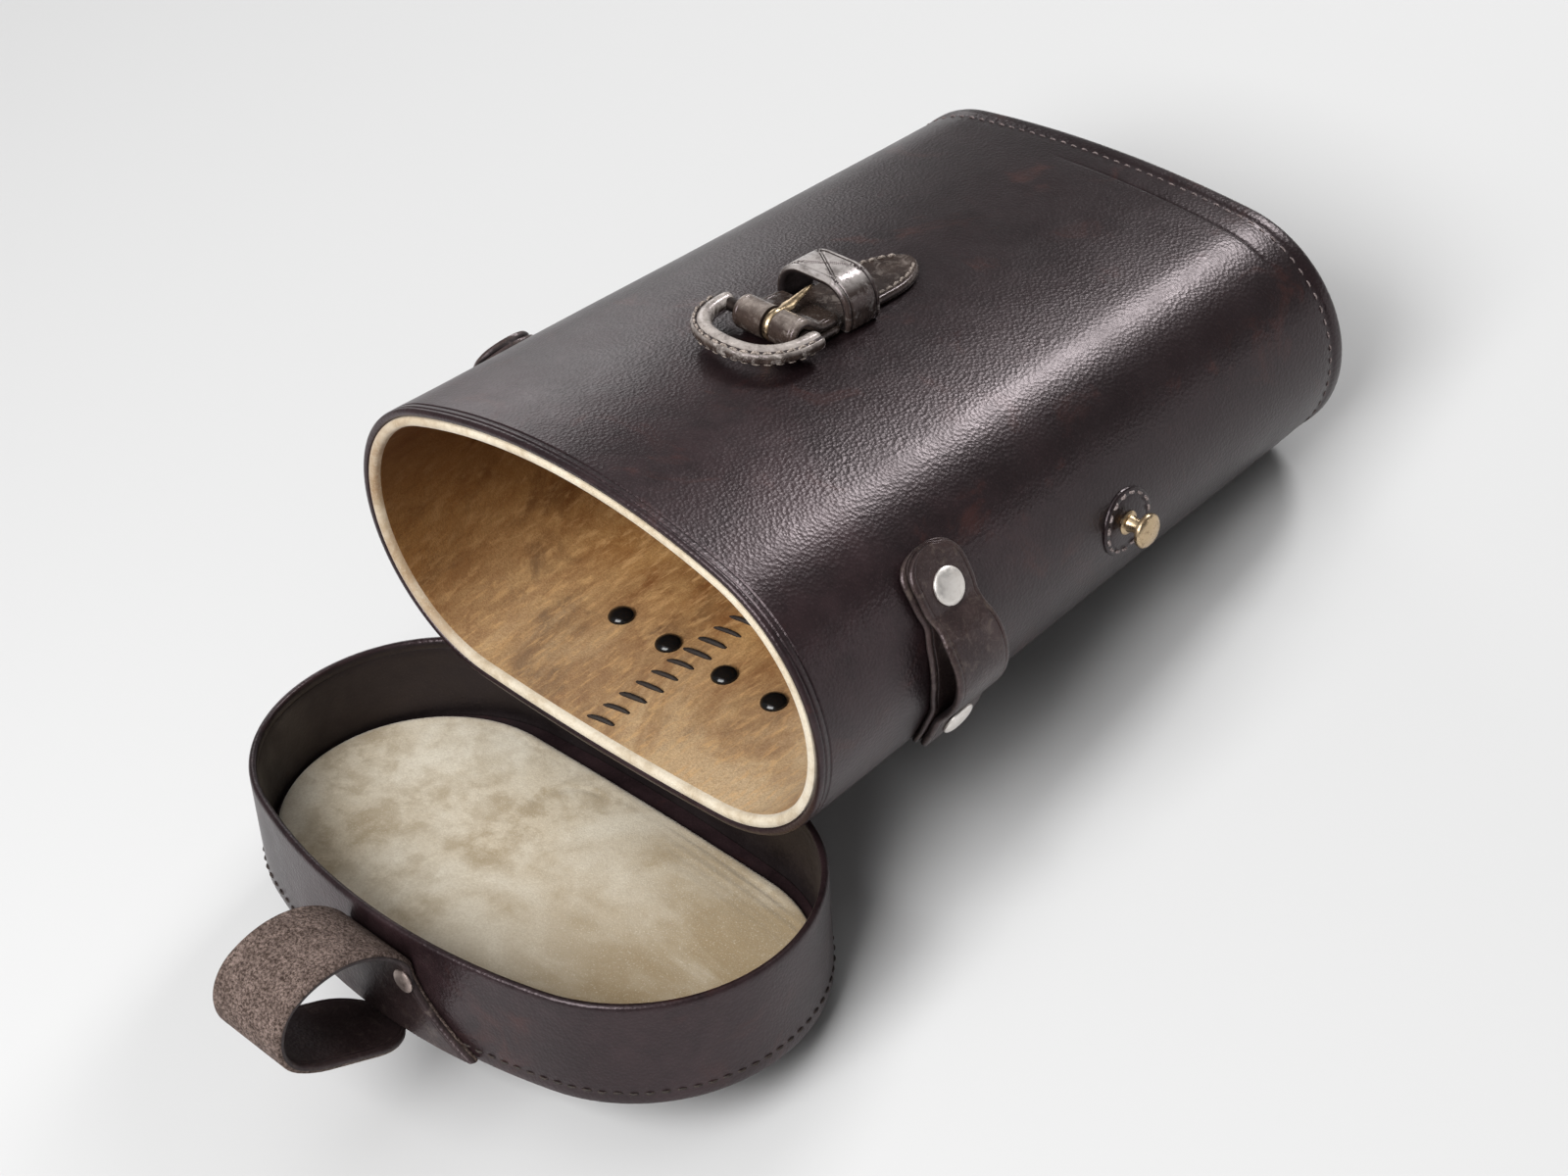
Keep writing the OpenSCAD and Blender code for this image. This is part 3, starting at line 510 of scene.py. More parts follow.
def lining_look():
    """Brushed golden suede: painted light makes it paler towards the lower edge of the mouth, painted shade darker high
    up and towards the left wall.
    """
    m = Look("lining_suede")
    brush = m.stretch(1.0, 0.45, 1.0)
    big = m.fit(m.noise(21, 5, 0.68, 1.2, brush), 0.36, 0.62)
    med = m.fit(m.noise(120, 6, 0.72, 0.9, brush), 0.3, 0.72)
    colour = m.mix(big, (0.21, 0.075, 0.017), (0.50, 0.26, 0.085))
    colour = m.mix(m.maths("MULTIPLY", med, 0.5), colour, (0.70, 0.44, 0.18))
    dark = m.fit(m.noise(62, 6, 0.7, 1.1, brush), 0.5, 0.72, 0.0, 0.75)
    colour = m.mix(dark, colour, (0.10, 0.036, 0.009))
    # painted light: paler low down inside, near the mouth and towards its right side, where light falls in; mottled by
    # the big noise
    y, z = m.axis(1), m.axis(2)
    low = m.fit(z, 0.016, 0.062, 1.0, 0.0)
    near = m.maths("ADD", m.fit(y, -0.05, 0.01, 0.75, 0.0), m.fit(m.axis(0), 0.01, 0.06, 0.0, 0.5))
    pale = m.maths("MULTIPLY", m.maths("MULTIPLY", low, near), m.fit(big, 0.0, 1.0, 0.6, 1.25))
    colour = m.mix(pale, colour, (0.78, 0.66, 0.46))
    nap = m.fit(m.noise(1700, 4, 0.7), 0.3, 0.7, 0.0, 0.4)
    colour = m.mix(nap, colour, (0.16, 0.064, 0.018))
    hair = m.fit(m.noise(620, 4, 0.7, 0.3, m.stretch(1.0, 0.22, 0.5)), 0.48, 0.7, 0.0, 0.5)
    colour = m.mix(hair, colour, (0.74, 0.45, 0.2))
    # painted shade: darker high up inside the body and towards its left wall
    colour = m.mix(m.fit(z, 0.045, 0.10, 0.0, 0.6), colour, (0.13, 0.042, 0.008))
    colour = m.mix(m.fit(m.axis(0), -0.045, -0.072, 0.0, 0.65), colour, (0.10, 0.036, 0.008))
    m.set(Base_Color=colour, Roughness=0.94)
    m.bsdf.inputs["Specular IOR Level"].default_value = 0.06
    m.bsdf.inputs["Sheen Weight"].default_value = 0.05
    soft = m.bump(m.noise(160, 5, 0.66, 0.5, brush), 0.0009, 0.45)
    m.set(Normal=m.bump(m.noise(2300, 4, 0.7), 0.00022, 0.6, soft))
    return m.mat


flesh = flesh_look()
lining = lining_look()
# the lip's darkening towards the left, inside the mouth, is painted shade
lip_look = suede("lining_edge", (0.52, 0.42, 0.29), (0.70, 0.60, 0.45), (0.80, 0.72, 0.58), blotch=90,
                 tone_along_x=(-0.03, -0.074, 0.85, (0.30, 0.165, 0.07)))
pad_look = suede("pad_suede", (0.42, 0.33, 0.21), (0.70, 0.61, 0.465), (0.86, 0.80, 0.67), blotch=30,
                 tone_along_x=(-0.03, 0.05, 0.95, (0.36, 0.26, 0.14)))
disc_look = suede("base_suede", (0.22, 0.12, 0.05), (0.40, 0.24, 0.11), (0.52, 0.34, 0.17), blotch=40)
brass = metal("brass", (0.54, 0.41, 0.26), (0.17, 0.10, 0.052), rough=(0.2, 0.42), stain=0.95)
nickel = metal("nickel", (0.86, 0.82, 0.78), (0.5, 0.43, 0.37), rough=(0.42, 0.6), stain=0.3)
dull_nickel = metal("dull_nickel", (0.56, 0.46, 0.42), (0.3, 0.2, 0.16), rough=(0.4, 0.6), stain=0.6)
iron = metal("iron", (0.045, 0.034, 0.03), (0.03, 0.02, 0.016), rough=(0.4, 0.6), stain=0.6)
gloss_black = metal("black_rivet", (0.006, 0.006, 0.006), (0.012, 0.010, 0.009), rough=(0.1, 0.2), stain=0.2)
gloss_black.node_tree.nodes["Principled BSDF"].inputs["Metallic"].default_value = 0.0
for link in list(gloss_black.node_tree.nodes["Principled BSDF"].inputs["Metallic"].links):
    gloss_black.node_tree.links.remove(link)
pale_thread = thread("pale_thread", (0.12, 0.09, 0.085), (0.36, 0.30, 0.29))
dull_thread = thread("dull_thread", (0.06, 0.043, 0.042), (0.24, 0.19, 0.185))
dark_thread = thread("dark_thread", (0.012, 0.008, 0.006), (0.05, 0.034, 0.028))
black_lace = thread("black_lace", (0.006, 0.004, 0.003), (0.03, 0.02, 0.016))
trim_thread = thread("trim_thread", (0.12, 0.09, 0.075), (0.46, 0.39, 0.34))


# ---------------------------------------------------------------- case body
def soft_noise(p, scale, amount, seed):
    """Slow hand-made unevenness over points in millimetres."""
    k = random.Random(seed)
    out = np.zeros(len(p))
    for _ in range(6):
        d = np.array([k.uniform(-1, 1) for _ in range(3)])
        out += np.sin(p @ d / scale * 2 * math.pi / np.linalg.norm(d) + k.uniform(0, 6.3))
    return out * amount / 6


outer = [(1.3, -2.05), (0.55, -1.95), (0.12, -1.55), (0.0, -1.0), (0.12, -0.45), (0.5, -0.1), (0.95, 0.0),
         (1.3, 0.0), (1.45, -0.12), (1.65, -0.3), (1.85, -0.12), (2.0, 0.0), (2.9, 0.0), (3.05, -0.12),
         (3.25, -0.3), (3.45, -0.12), (3.6, 0.0), (4.4, 0.0)]
outer += [(y, 0.0) for y in np.arange(7, 177, 3.0)]
outer += [(178.2, 0.0), (178.75, -0.05), (179.2, -0.22), (179.65, -0.05), (180.2, 0.0), (183, 0.0), (185.6, -0.1),
          (186.4, -0.2), (187.2, -0.12), (187.7, 0.06), (188.3, 0.28), (190.2, 0.3), (190.9, 0.12), (191.3, -0.35),
          (191.4, -1.0), (191.3, -1.7), (190.9, -2.02)]
inner = [(183.0, -2.05), (120.0, -2.05), (60.0, -2.05), (6.0, -2.05)]
rows = []
for y, g in outer + inner:
    ring = body_ring(y, g)
    if 4.4 <= y <= 187 and g > -1:
        away = ring - body_ring(y, g - 1.0)
        push = soft_noise(ring, 74, 0.16, 3) * min(1.0, (y - 4.4) / 12, max(0.0, (187 - y) / 12))
        if 178.5 < y < 180:
            keep = np.clip((ring[:, 0] + 10) / 4, 0, 1) * np.clip((61 - ring[:, 0]) / 4, 0, 1) * (ring[:, 2] > 50)
            push = push - g * (1 - keep)
        ring = ring + away * push[:, None]
    rows.append(ring)
v, f = loft(rows, wrap=True)
build("shell", v, f, REST, "case", shell_look, ["body_shell"])

lip = [(1.6, -2.08), (0.75, -2.1), (0.25, -2.25), (-0.02, -2.65), (-0.1, -3.2), (-0.02, -3.85), (0.3, -4.35),
       (0.9, -4.62), (1.8, -4.7), (3.0, -4.66)]
inside = [(y, -4.65) for y in np.arange(5, 182, 4.0)] + [(183.3, -4.65), (183.3, -2.1), (90.0, -2.1)]
rows = [body_ring(y, g) for y, g in lip + inside]
v, f = loft(rows, wrap=True)
n = len(rows[0])
marks = [0 if i // n < 8 or i // n >= len(rows) - 2 else 1 for i in range(len(f))]
build("lining", v, f, REST, "case", [lip_look, lining], ["body_lining"], marks=marks)

plate = [(183.4, -2.1), (187, -2.1), (190.2, -2.12), (190.75, -2.3), (191.0, -2.8), (190.95, -4.0), (190.7, -4.8),
         (190.65, -5.3), (190.9, -6.0), (191.0, -7.5)]
plate += [(191.0 - 0.012 * (g + 7.5) ** 2 * 0.06, g) for g in np.arange(-9, -31, -2.5)]
back = [(188.6, g) for g in np.arange(-29, -6, 4.0)] + [(188.6, -4.7), (183.4, -4.7)]
v, f = loft([body_ring(y, g) for y, g in plate])
w, h = loft([body_ring(y, g) for y, g in back])
v, f = joined([(v, f), (w, h)])
build("base", v, f, REST, "case", trim_look, ["base_plate"])

top = BODY_LEN - 2.45
pad_rows = [(top, -6.0), (top - 0.3, -5.0), (top - 1.5, -4.72), (top - 3.0, -4.8), (top - 4.0, -5.6), (top - 4.4, -7.2)]
pad_rows += [(top - 4.45 - 0.05 * math.sin(g), g) for g in np.arange(-9, -30, -2.0)]
v, f = loft([body_ring(y, g) for y, g in pad_rows])
pad = build("base_disc", v, f, REST, "case", disc_look, ["base_lining"])

# stitches round the base and the laced seam inside
ring = body_ring(186.4, -0.12)
up = ring - body_ring(186.4, -1.12)
path = along(ring, 3.5, 1.9)
mid = ring.mean(0)
stitches = []
for a, b in path:
    k = int(np.argmin(np.linalg.norm(ring - (a + b) / 2, axis=1)))
    stitches.append((a, b, up[k]))
threads("base_stitches", stitches, 0.23, REST, "case", dull_thread)

laces = []
for i in range(10):
    y = 4.6 + 46.2 * i / 9
    x = -3.5 + 1.3 * i / 9
    r = rng.uniform(-0.5, 0.5)
    za = back_z(np.array(x - 3.4), y + r)
    inset = 4.7
    laces.append(((x - 4.2, y - 0.45 + r * 0.4, za + inset), (x + 3.9 + r, y + 0.9, za + inset), (0, 0, 1)))
threads("laced_seam", laces, 0.66, REST, "case", black_lace, dip=0.3, rise=0.16)

# ---------------------------------------------------------------- lid
outside = [(0.35, -0.1), (0.05, 0.9), (0.0, 1.35), (0.25, 1.8), (0.8, 2.0), (2.4, 2.0), (3.4, 1.92), (4.4, 2.0)]
outside += [(z, 2.0) for z in np.arange(6, 27, 1.5)]
outside += [(27.3, 2.0), (28.2, 1.95), (28.7, 1.62), (28.9, 1.1), (28.78, 0.5), (28.3, 0.08), (27.4, 0.0), (26.6, -0.02),
            (26.3, 0.12), (26.0, 0.0)]
outside += [(z, 0.0) for z in np.arange(24, 3, -2.0)]
rows = []
for z, g in outside:
    ring = lid_ring(z, g)
    if 5 < z < 26:
        away = ring - lid_ring(z, g - 1)
        ring = ring + away * (soft_noise(ring, 60, 0.14, 8) * min(1, (z - 5) / 6, (26 - z) / 4))[:, None]
    rows.append(ring)
v, f = loft(rows, wrap=True)
n = len(rows[0])
# faces past the rim's top, inside the lid, get the near-black painted shade
turn_over = [i for i, (z, g) in enumerate(outside) if z > 28.5][-1]
marks = [1 if i // n > turn_over else 0 for i in range(len(f))]
build("lid_side", v, f, LIDM, "lid", [shell_look, inner_shade_look], ["lid_wall"], marks=marks)

face = [(5.2, -2.1), (5.2, -0.2), (4.6, -0.08), (1.2, -0.08), (0.35, -0.2), (0.02, -0.9), (0.0, -2.2), (0.1, -2.9),
        (0.35, -3.3), (0.1, -3.7), (0.0, -4.6)]
face += [(0.0, -g) for g in np.arange(6, 38, 3.5)]
v, f = loft([lid_ring(z, g) for z, g in face] )
build("lid_face", v, f, LIDM, "lid", shell_look, ["lid_plate"])

line = lid_ring(3.5, 1.95)
up = line - lid_ring(3.5, 0.95)
stitches = []
for a, b in along(line, 3.5, 2.3):
    k = int(np.argmin(np.linalg.norm(line - (a + b) / 2, axis=1)))
    stitches.append((a, b, up[k]))
threads("lid_stitches", stitches, 0.32, LIDM, "lid", dark_thread)


def pad_ring(i, z):
    fit = 0.6
    back = (5.4 - fit) / 2
    half = LID[1] - fit - back - i
    low = LID[3] + 0.8 * back
    p = oval(LID[0] - fit - i, half, half - low - 0.5, low, (64, 60, 64, 60))
    return np.c_[p[:, 0], p[:, 1] - LID_MID - back, np.full(len(p), float(z))]


heights = [(1.7, 2.5), (1.7, 5.2), (0.7, 5.26), (0.15, 5.4), (0.0, 5.85), (0.25, 6.35), (0.9, 6.7), (1.8, 6.88),
           (2.9, 6.95), (3.6, 6.9), (4.2, 6.96)]
heights += [(i, 7.0 + 0.4 * math.sin(min(1, (i - 5) / 24) * math.pi / 2)) for i in np.arange(5.2, 36, 0.9)]
rows = []
for i, z in heights:
    ring = pad_ring(i, z)
    if i > 0.5 and z > 6.5:
        x, y = ring[:, 0], ring[:, 1]
        bend = soft_noise(ring, 46, 0.22, 21)
        # four soft folds along the hinge side, towards the right
        for k, (off, deep) in enumerate(((5.2, 0.34), (8.0, 0.3), (11.2, 0.2), (13.6, 0.13))):
            curve = -off - 0.0011 * (x - 6 - 3 * k) ** 2 - 2.4
            reach = np.clip((x - 2 - 3 * k) / 14, 0, 1) * np.clip((70 - x) / 9, 0, 1)
            bend = bend - deep * reach * np.exp(-((y - curve) / 0.62) ** 2)
        # the crescent mark
        q = np.hypot(x + 12, y + 21)
        reach = np.clip((x + 28) / 6, 0, 1) * np.clip((-4 - x) / 10, 0, 1) * (y > -24)
        bend = bend - 0.28 * reach * np.exp(-((q - 10) / 0.7) ** 2)
        ring[:, 2] += bend
    rows.append(ring)
v, f = loft(rows)
pad = build("lid_cushion", v, f, LIDM, "lid", pad_look, ["lid_pad"], angle=70)

# ---------------------------------------------------------------- hinge
fy = np.concatenate([np.linspace(20.6, 38, 16), 38 + 8 * np.sin(np.linspace(0.12, 1, 10) * math.pi / 2)])
rows_t, rows_b = [], []
for y in fy:
    e = max(0.0, y - 38)
    w = 36.5 - (8 - math.sqrt(max(0.0, 64 - e * e)))
    x = w * np.sin(np.linspace(-1, 1, 61) * math.pi / 2)
    z = back_z(x, y)
    cut = 0.8 * np.clip(1 - (w - np.abs(x)) / 0.8, 0, 1) ** 2 + 0.14 * np.exp(-((w - np.abs(x) - 1.8) / 0.2) ** 2)
    if y > 45.5:
        cut = cut + 0.5
    rows_t.append(np.c_[x, np.full(61, y), z - 2.25 + cut])
    rows_b.append(np.c_[x, np.full(61, y), z - 0.05])
v, f, _ = slab(np.array(rows_t), np.array(rows_b))
build("hinge_leather", v, f, REST, "case", trim_look, ["hinge_flap"])

lid_in_rest = REST.inverted() @ LIDM
trail = [np.array(lid_in_rest @ Vector((0, y, z)))[1:] for y, z in ((1.6, 26.6), (1.6, 27.6), (1.58, 28.6), (1.54, 29.5))]
trail += [np.array(HINGE) + 1.0 * unit(a) * 0.0 for a in (0,)]
trail += [np.array(q) for q in ((21.3, -1.42), (22.3, -1.1), (23.6, -0.75), (25.2, -0.42), (27.5, -0.3))]
fine = []
t = np.arange(len(trail))
for q in np.linspace(0, len(trail) - 1, 37):
    k = int(min(q, len(trail) - 2))
    p = [trail[max(0, min(len(trail) - 1, k + d))] for d in (-1, 0, 1, 2)]
    u = q - k
    fine.append(0.5 * (2 * p[1] + (p[2] - p[0]) * u + (2 * p[0] - 5 * p[1] + 4 * p[2] - p[3]) * u * u
                       + (3 * p[1] - p[0] - 3 * p[2] + p[3]) * u ** 3))
rows = []
for i, p in enumerate(fine):
    d = fine[min(i + 1, len(fine) - 1)] - fine[max(i - 1, 0)]
    d = d / np.linalg.norm(d)
    rows.append(((0, *p), (1, 0, 0), (0, d[1], -d[0]), 36.2, 2.14))
a, b = strip(rows, inner=24)
far = np.abs(np.linspace(-1, 1, a.shape[1]))
v, f, _ = slab(a, b)
hinge = build("hinge_bend", v, f, REST, None, trim_look)
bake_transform(hinge)

dome = [(0, 0.001), (0, 3.4), (0.35, 3.42), (0.8, 3.2), (1.35, 2.55), (1.75, 1.6), (1.95, 0.7), (2.0, 0.001)]
cap = [(0, 0.001), (0, 2.7), (0.5, 2.75), (0.85, 2.3), (1.15, 1.2), (1.2, 0.001)]
parts = []
for x in (-26.5, -9.75, 9.75, 26.5):
    x -= 1.2
    y = 34.0
    z = float(back_z(np.array(x), y))
    head = spin(-90, "Y")
    parts.append(moved(lathe([(q - 0.12, r) for q, r in dome]), move(x, y, z + 4.72) @ head))
    parts.append(moved(lathe([(q, r) for q, r in cap]), move(x, y, z - 2.2) @ spin(90, "Y")))
v, f = joined(parts)
build("hinge_rivet_heads", v, f, REST, "case", gloss_black, ["hinge_rivets"])


# ---------------------------------------------------------------- closing strap
def curl_points():
    heads = [90.0]
    for a in CURL_A:
        heads.append(heads[-1] + a)
    p = np.array([-(LID_MID + LID[1] + LID_WALL) - 0.05, STRAP_LEAVE])
    centres = []
    for r, h0, h1 in zip(CURL_R, heads, heads[1:]):
        c = p + r * unit(h0 + 90)
        centres.append(c)
        p = c + r * unit(h1 - 90)
    return heads, centres, p


heads, centres, last = curl_points()
front_r = wide(LID[0], LID[2], LID[1] + LID[3]) + LID_WALL


def curl_row(angle):
    k = sum(angle >= h - 90 for h in heads[1:4])
    out = unit(angle)
    return centres[k] + (CURL_R[k] - STRAP_T / 2) * out, out


def strap_grid(rows, sag=None, edge_first=False, edge_last=False):
    """Rows are (middle, towards the rough side, half width). Returns grain side and rough side."""
    data = []
    for p, out, w in rows:
        data.append(((STRAP_X, *p), (1, 0, 0), (0, -out[0], -out[1]), w, STRAP_T))
    top, bottom = strip(data, inner=20)
    if sag is not None:
        for i, s in enumerate(sag):
            x = top[i, :, 0]
            d = (front_r - np.sqrt(front_r ** 2 - x ** 2)) * s
            out = rows[i][1]
            for g in (top, bottom):
                g[i, :, 1] += d * out[0]
                g[i, :, 2] += d * out[1]
    return top, bottom


root, sag = [], []
wall = -(LID_MID + LID[1] + LID_WALL) - 0.05
for z in np.concatenate([[0.9, 1.1, 1.5], np.arange(2.2, 20.4, 0.75)]):
    s = min(1.0, max(0.0, (z - 0.9) / 20.6))
    half = 11.6 + (28 - 11.6) * (1 - s) ** 1.8
    root.append((np.array([wall - STRAP_T / 2, z]), np.array([1.0, 0.0]), max(half, 12.0)))
    sag.append(1 - 0.55 * float(np.clip((z - 10) / 10.5, 0, 1)) ** 2)
cut = heads[1] - 90 + FLEX_A
for a in np.arange(0, cut - 8.9, 1.8):
    p, out = curl_row(a)
    root.append((p, out, 12.0))
    sag.append(max(0.0, 0.45 * (1 - a / 30)))
p, out = curl_row(cut - 9)
root.append((p, out, 12.0))
sag.append(0.0)
bend = [(*curl_row(a), 12.0) for a in np.linspace(cut - 9, cut + 9, 15)]
tail = [(*curl_row(a), 12.0) for a in np.concatenate([np.arange(cut + 9, heads[4] - 90, 2.0), [heads[4] - 90.01]])]
way, out = unit(heads[4]), unit(heads[4] - 90)
start_tip = last - STRAP_T / 2 * out
for s in np.concatenate([np.linspace(0.9, 13, 12), 13 + 15 * np.sin(np.linspace(0.06, 1, 26) * math.pi / 2)]):
    k = max(0.0, (s - 13) / 15)
    tail.append((start_tip + way * s, out, max(0.35, 12.0 * (1 - min(k, 0.9995) ** 2.2) ** 0.6)))
for name, rows, s, body in (("strap_foot", root, sag, "lid"), ("strap_bend", bend, None, None), ("strap_end", tail, None, "strap")):
    a, b = strap_grid(rows, s)
    v, f, marks = slab(a, b)
    o = build(name, v, f, LIDM, body, [trim_look, flesh, edge_look], marks=marks,
              nodes={"strap_foot": ["strap_root"], "strap_end": ["strap_tail"]}.get(name, ()), angle=60)
    if name == "strap_bend":
        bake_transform(o)

cap = [(0, 0.001), (0, 2.85), (0.35, 3.0), (0.7, 2.88), (1.05, 2.3), (1.3, 1.25), (1.4, 0.001)]
parts = []
for s in (-1, 1):
    x = STRAP_X + s * 10.4
    y = wall - STRAP_T + (front_r - math.sqrt(front_r ** 2 - x * x)) * 0.75
    parts.append(moved(lathe([(q - 0.1, r) for q, r in cap]), move(x, y, 17.3) @ spin(-90, "Z")))
    parts.append(moved(lathe([(0, 0.001), (0, 2.2), (0.25, 2.3), (0.7, 1.9), (0.9, 0.001)]),
                       move(x, y + STRAP_T + LID_WALL + 0.1, 17.3) @ spin(90, "Z")))
v, f = joined(parts)
build("strap_caps", v, f, LIDM, "lid", dull_nickel, ["strap_rivets"])

# ---------------------------------------------------------------- buckle
barrel_r, tab_t = 2.95, 2.4
path = [(y, 1.25) for y in np.linspace(46.3, 2.0, 60)]
path += [(0 + barrel_r * math.cos(t), BAR_H + barrel_r * math.sin(t))
         for t in np.radians(np.linspace(-90, -305, 44))]
path += [(2.8 + 0.9 * i, 5.9 - 2.2 * (1 - (1 - i / 5) ** 2) * 0.98) for i in range(1, 6)]
path += [(y, 3.72) for y in np.linspace(8.0, 11.6, 5)]
path = [np.array(q) for q in path]
rows, slot_rows = [], []
for i, p in enumerate(path):
    d = path[min(i + 1, len(path) - 1)] - path[max(i - 1, 0)]
    d = d / np.linalg.norm(d)
    if i < 60:
        e = 46.3 - p[0]
        w = 8.5 * math.sqrt(max(0.0, 1 - (1 - min(e, 14) / 14) ** 2)) if e < 14 else 8.5
        w = max(w, 0.3) if p[0] > 14 else 8.5 + 1.5 * min(1.0, (14 - p[0]) / 3)
    else:
        w = 10.0
    if p[0] > 10 and i > 60:
        w = 10.0 - 0.4 * (p[0] - 10)
    rows.append(((0, *p), (1, 0, 0), (0, -d[1], d[0]), w, tab_t))
top, bottom = strip(rows, inner=34)
keep = np.ones((len(rows) - 1, top.shape[1] - 1), bool)
for i in range(len(rows) - 1):
    if i > 52 and path[i][0] < 4.6:
        xm = (top[i, 1:, 0] + top[i, :-1, 0]) / 2
        keep[i] = np.abs(xm - 0.8) > 1.6
v, f, marks = slab(top, bottom, keep=keep)
build("tab", v, f, FRONT, "case", [tab_look, tab_look, edge_look], ["buckle_tab"], marks=marks, angle=55)

stitches = []
for s in (-1, 1):
    line = []
    for y in np.linspace(25.5, 44.4, 40):
        e = 46.3 - y
        w = 8.5 * math.sqrt(1 - (1 - min(e, 14) / 14) ** 2) if e < 14 else 8.5
        line.append((s * max(w - 1.75, 0.25), y, 2.42))
    stitches += [(a, b, (0, 0, 1)) for a, b in along(line, 2.3, 2.0, closed=False)]
threads("tab_stitches", stitches, 0.42, FRONT, "case", trim_thread)

# keeper: a crowned band with crossed creases
w, h, r, t = 10.7, 11.3, 6.9, 2.2
ring = []
for x in np.linspace(-w + 1, w - 1, 12):
    ring.append((x, 0.6, 1.1))
for a in np.linspace(-80, 0, 6):
    ring.append((w - 1 + math.cos(math.radians(a)), 1.6 + math.sin(math.radians(a)), 1.7))
for z in np.linspace(2.2, h - r, 6):
    ring.append((w, z, t))
for a in np.linspace(4, 90, 58):
    ring.append((w - r + r * math.cos(math.radians(a)), h - r + r * math.sin(math.radians(a)), t))
for x in np.linspace(w - r - 0.2, r - w + 0.2, 38):
    ring.append((x, h, t))
for a in np.linspace(90, 176, 58):
    ring.append((r - w + r * math.cos(math.radians(a)), h - r + r * math.sin(math.radians(a)), t))
for z in np.linspace(h - r, 2.2, 6):
    ring.append((-w, z, t))
for a in np.linspace(180, 260, 6):
    ring.append((1 - w + math.cos(math.radians(a)), 1.6 + math.sin(math.radians(a)), 1.7))
mid_y = 12.5 + 5.5
pts = [np.array(q[:2]) for q in ring]
arc = np.concatenate([[0], np.cumsum([np.linalg.norm(b - a) for a, b in zip(pts, pts[1:])])])
top_i = [i for i, q in enumerate(ring) if abs(q[1] - h) < 1e-6]
middle = arc[top_i[len(top_i) // 2]]
rows = []
for i, p in enumerate(pts):
    d = pts[(i + 1) % len(pts)] - pts[i - 1]
    d = d / np.linalg.norm(d)
    up = (d[1], 0, -d[0])
    rows.append(((p[0], mid_y, p[1]), (0, 1, 0), up, 5.5, ring[i][2]))


def creases(i, x):
    s = arc[i] - middle
    out = np.zeros(len(x))
    for k, c in ((0.62, 0.35), (0.62, -0.35), (-0.62, 0.35), (-0.62, -0.35), (0.0, 4.0), (0.0, -4.0)):
        out += 0.5 * np.exp(-((x - k * s + c) / 0.17) ** 2) * (abs(s) < 7.2 if k else 1)
    return np.minimum(out, 0.5) - 0.15 * (1 - (x / 5.5) ** 2)


top, bottom = strip(rows, inner=72, press=creases, groove=0.0)
v, f, marks = slab(top, bottom, wrap=True)
# faces in the creases get the dark cut-edge material: painted shade in the creases
wide_cells = top.shape[1] - 1
grain_side = [k for k, mark in enumerate(marks) if mark == 0]
for count, k in enumerate(grain_side):
    i, j = divmod(count, wide_cells)
    x = (top[i, j, 1] + top[i, j + 1, 1]) / 2 - mid_y
    if creases(i, np.array([x]))[0] + 0.15 * (1 - (x / 5.5) ** 2) > 0.2:
        marks[k] = 2
build("keeper", v, f, FRONT, "case", [worn_highlit_look, inner_shade_look, edge_look], ["keeper_loop"], marks=marks, angle=60)

# D-shaped frame: leather folded over a wire and sewn along its outer edge
fa, fb, slide = 14.2, 13.6, -1.8
frame_m = FRONT @ move(slide, 0, BAR_H)
dp = [(fa, 1.9), (fa, 1.3), (fa, 0.6)]
for u in np.linspace(0.6, 179.4, 110):
    c, s = math.cos(math.radians(u)), math.sin(math.radians(u))
    dp.append((fa * math.copysign(abs(c) ** 0.8, c), -fb * abs(s) ** 0.8))
dp += [(-fa, 0.6), (-fa, 1.3), (-fa, 1.9)]
dp = [np.array(q) for q in dp]
section = [(2.1 * math.cos(a), 2.1 * math.sin(a)) for a in np.radians(np.arange(58, 303, 14))]
section += [(1.45, -1.36), (1.9, -1.28), (2.5, -1.3), (2.85, -1.05), (3.0, -0.5), (3.0, 0.5), (2.85, 1.05), (2.5, 1.3),
            (1.9, 1.28), (1.45, 1.36)]
section = np.array(section)
rings, outs = [], []
for i, p in enumerate(dp):
    d = dp[min(i + 1, len(dp) - 1)] - dp[max(i - 1, 0)]
    d = d / np.linalg.norm(d)
    q = np.array([-d[1], d[0]])
    k = {0: 0.72, 1: 0.93, len(dp) - 1: 0.72, len(dp) - 2: 0.93}.get(i, 1.0)
    wob = 0.07 * math.sin(i * 0.9) + 0.05 * math.sin(i * 2.3)
    sec = section * k
    sec = np.c_[sec[:, 0] + np.where(sec[:, 0] > 2.2, wob, 0), sec[:, 1]]
    rings.append(np.c_[p[0] + q[0] * sec[:, 0], p[1] + q[1] * sec[:, 0], sec[:, 1]])
    outs.append(q)
v, f = loft(rings)
# the stitched flat and the crease beside the tube get the dark cut-edge material: partly the seam's own colour, partly
# painted shade in the crease
seam_and_crease_shade = (18, 19, 25, 26)
marks = [1 if i < (len(rings) - 1) * len(section) and i % len(section) in seam_and_crease_shade else 0 for i in range(len(f))]
build("frame_leather", v, f, frame_m, "frame", [frame_look, edge_look], ["buckle_cover"], marks=marks,
      angle=60)
line = [np.array([*(p + q * 2.25), 1.32]) for p, q in zip(dp[4:-4], outs[4:-4])]
stitches = [(a, b, (0, 0, 1)) for a, b in along(line, 2.7, 2.2, closed=False)]
under = [(a * [1, 1, -1], b * [1, 1, -1], (0, 0, -1)) for a, b, _ in stitches]
threads("frame_stitches", stitches + under, 0.34, frame_m, "frame", trim_thread)
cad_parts["buckle_wire"].data.materials.clear()
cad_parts["buckle_wire"].data.materials.append(iron)

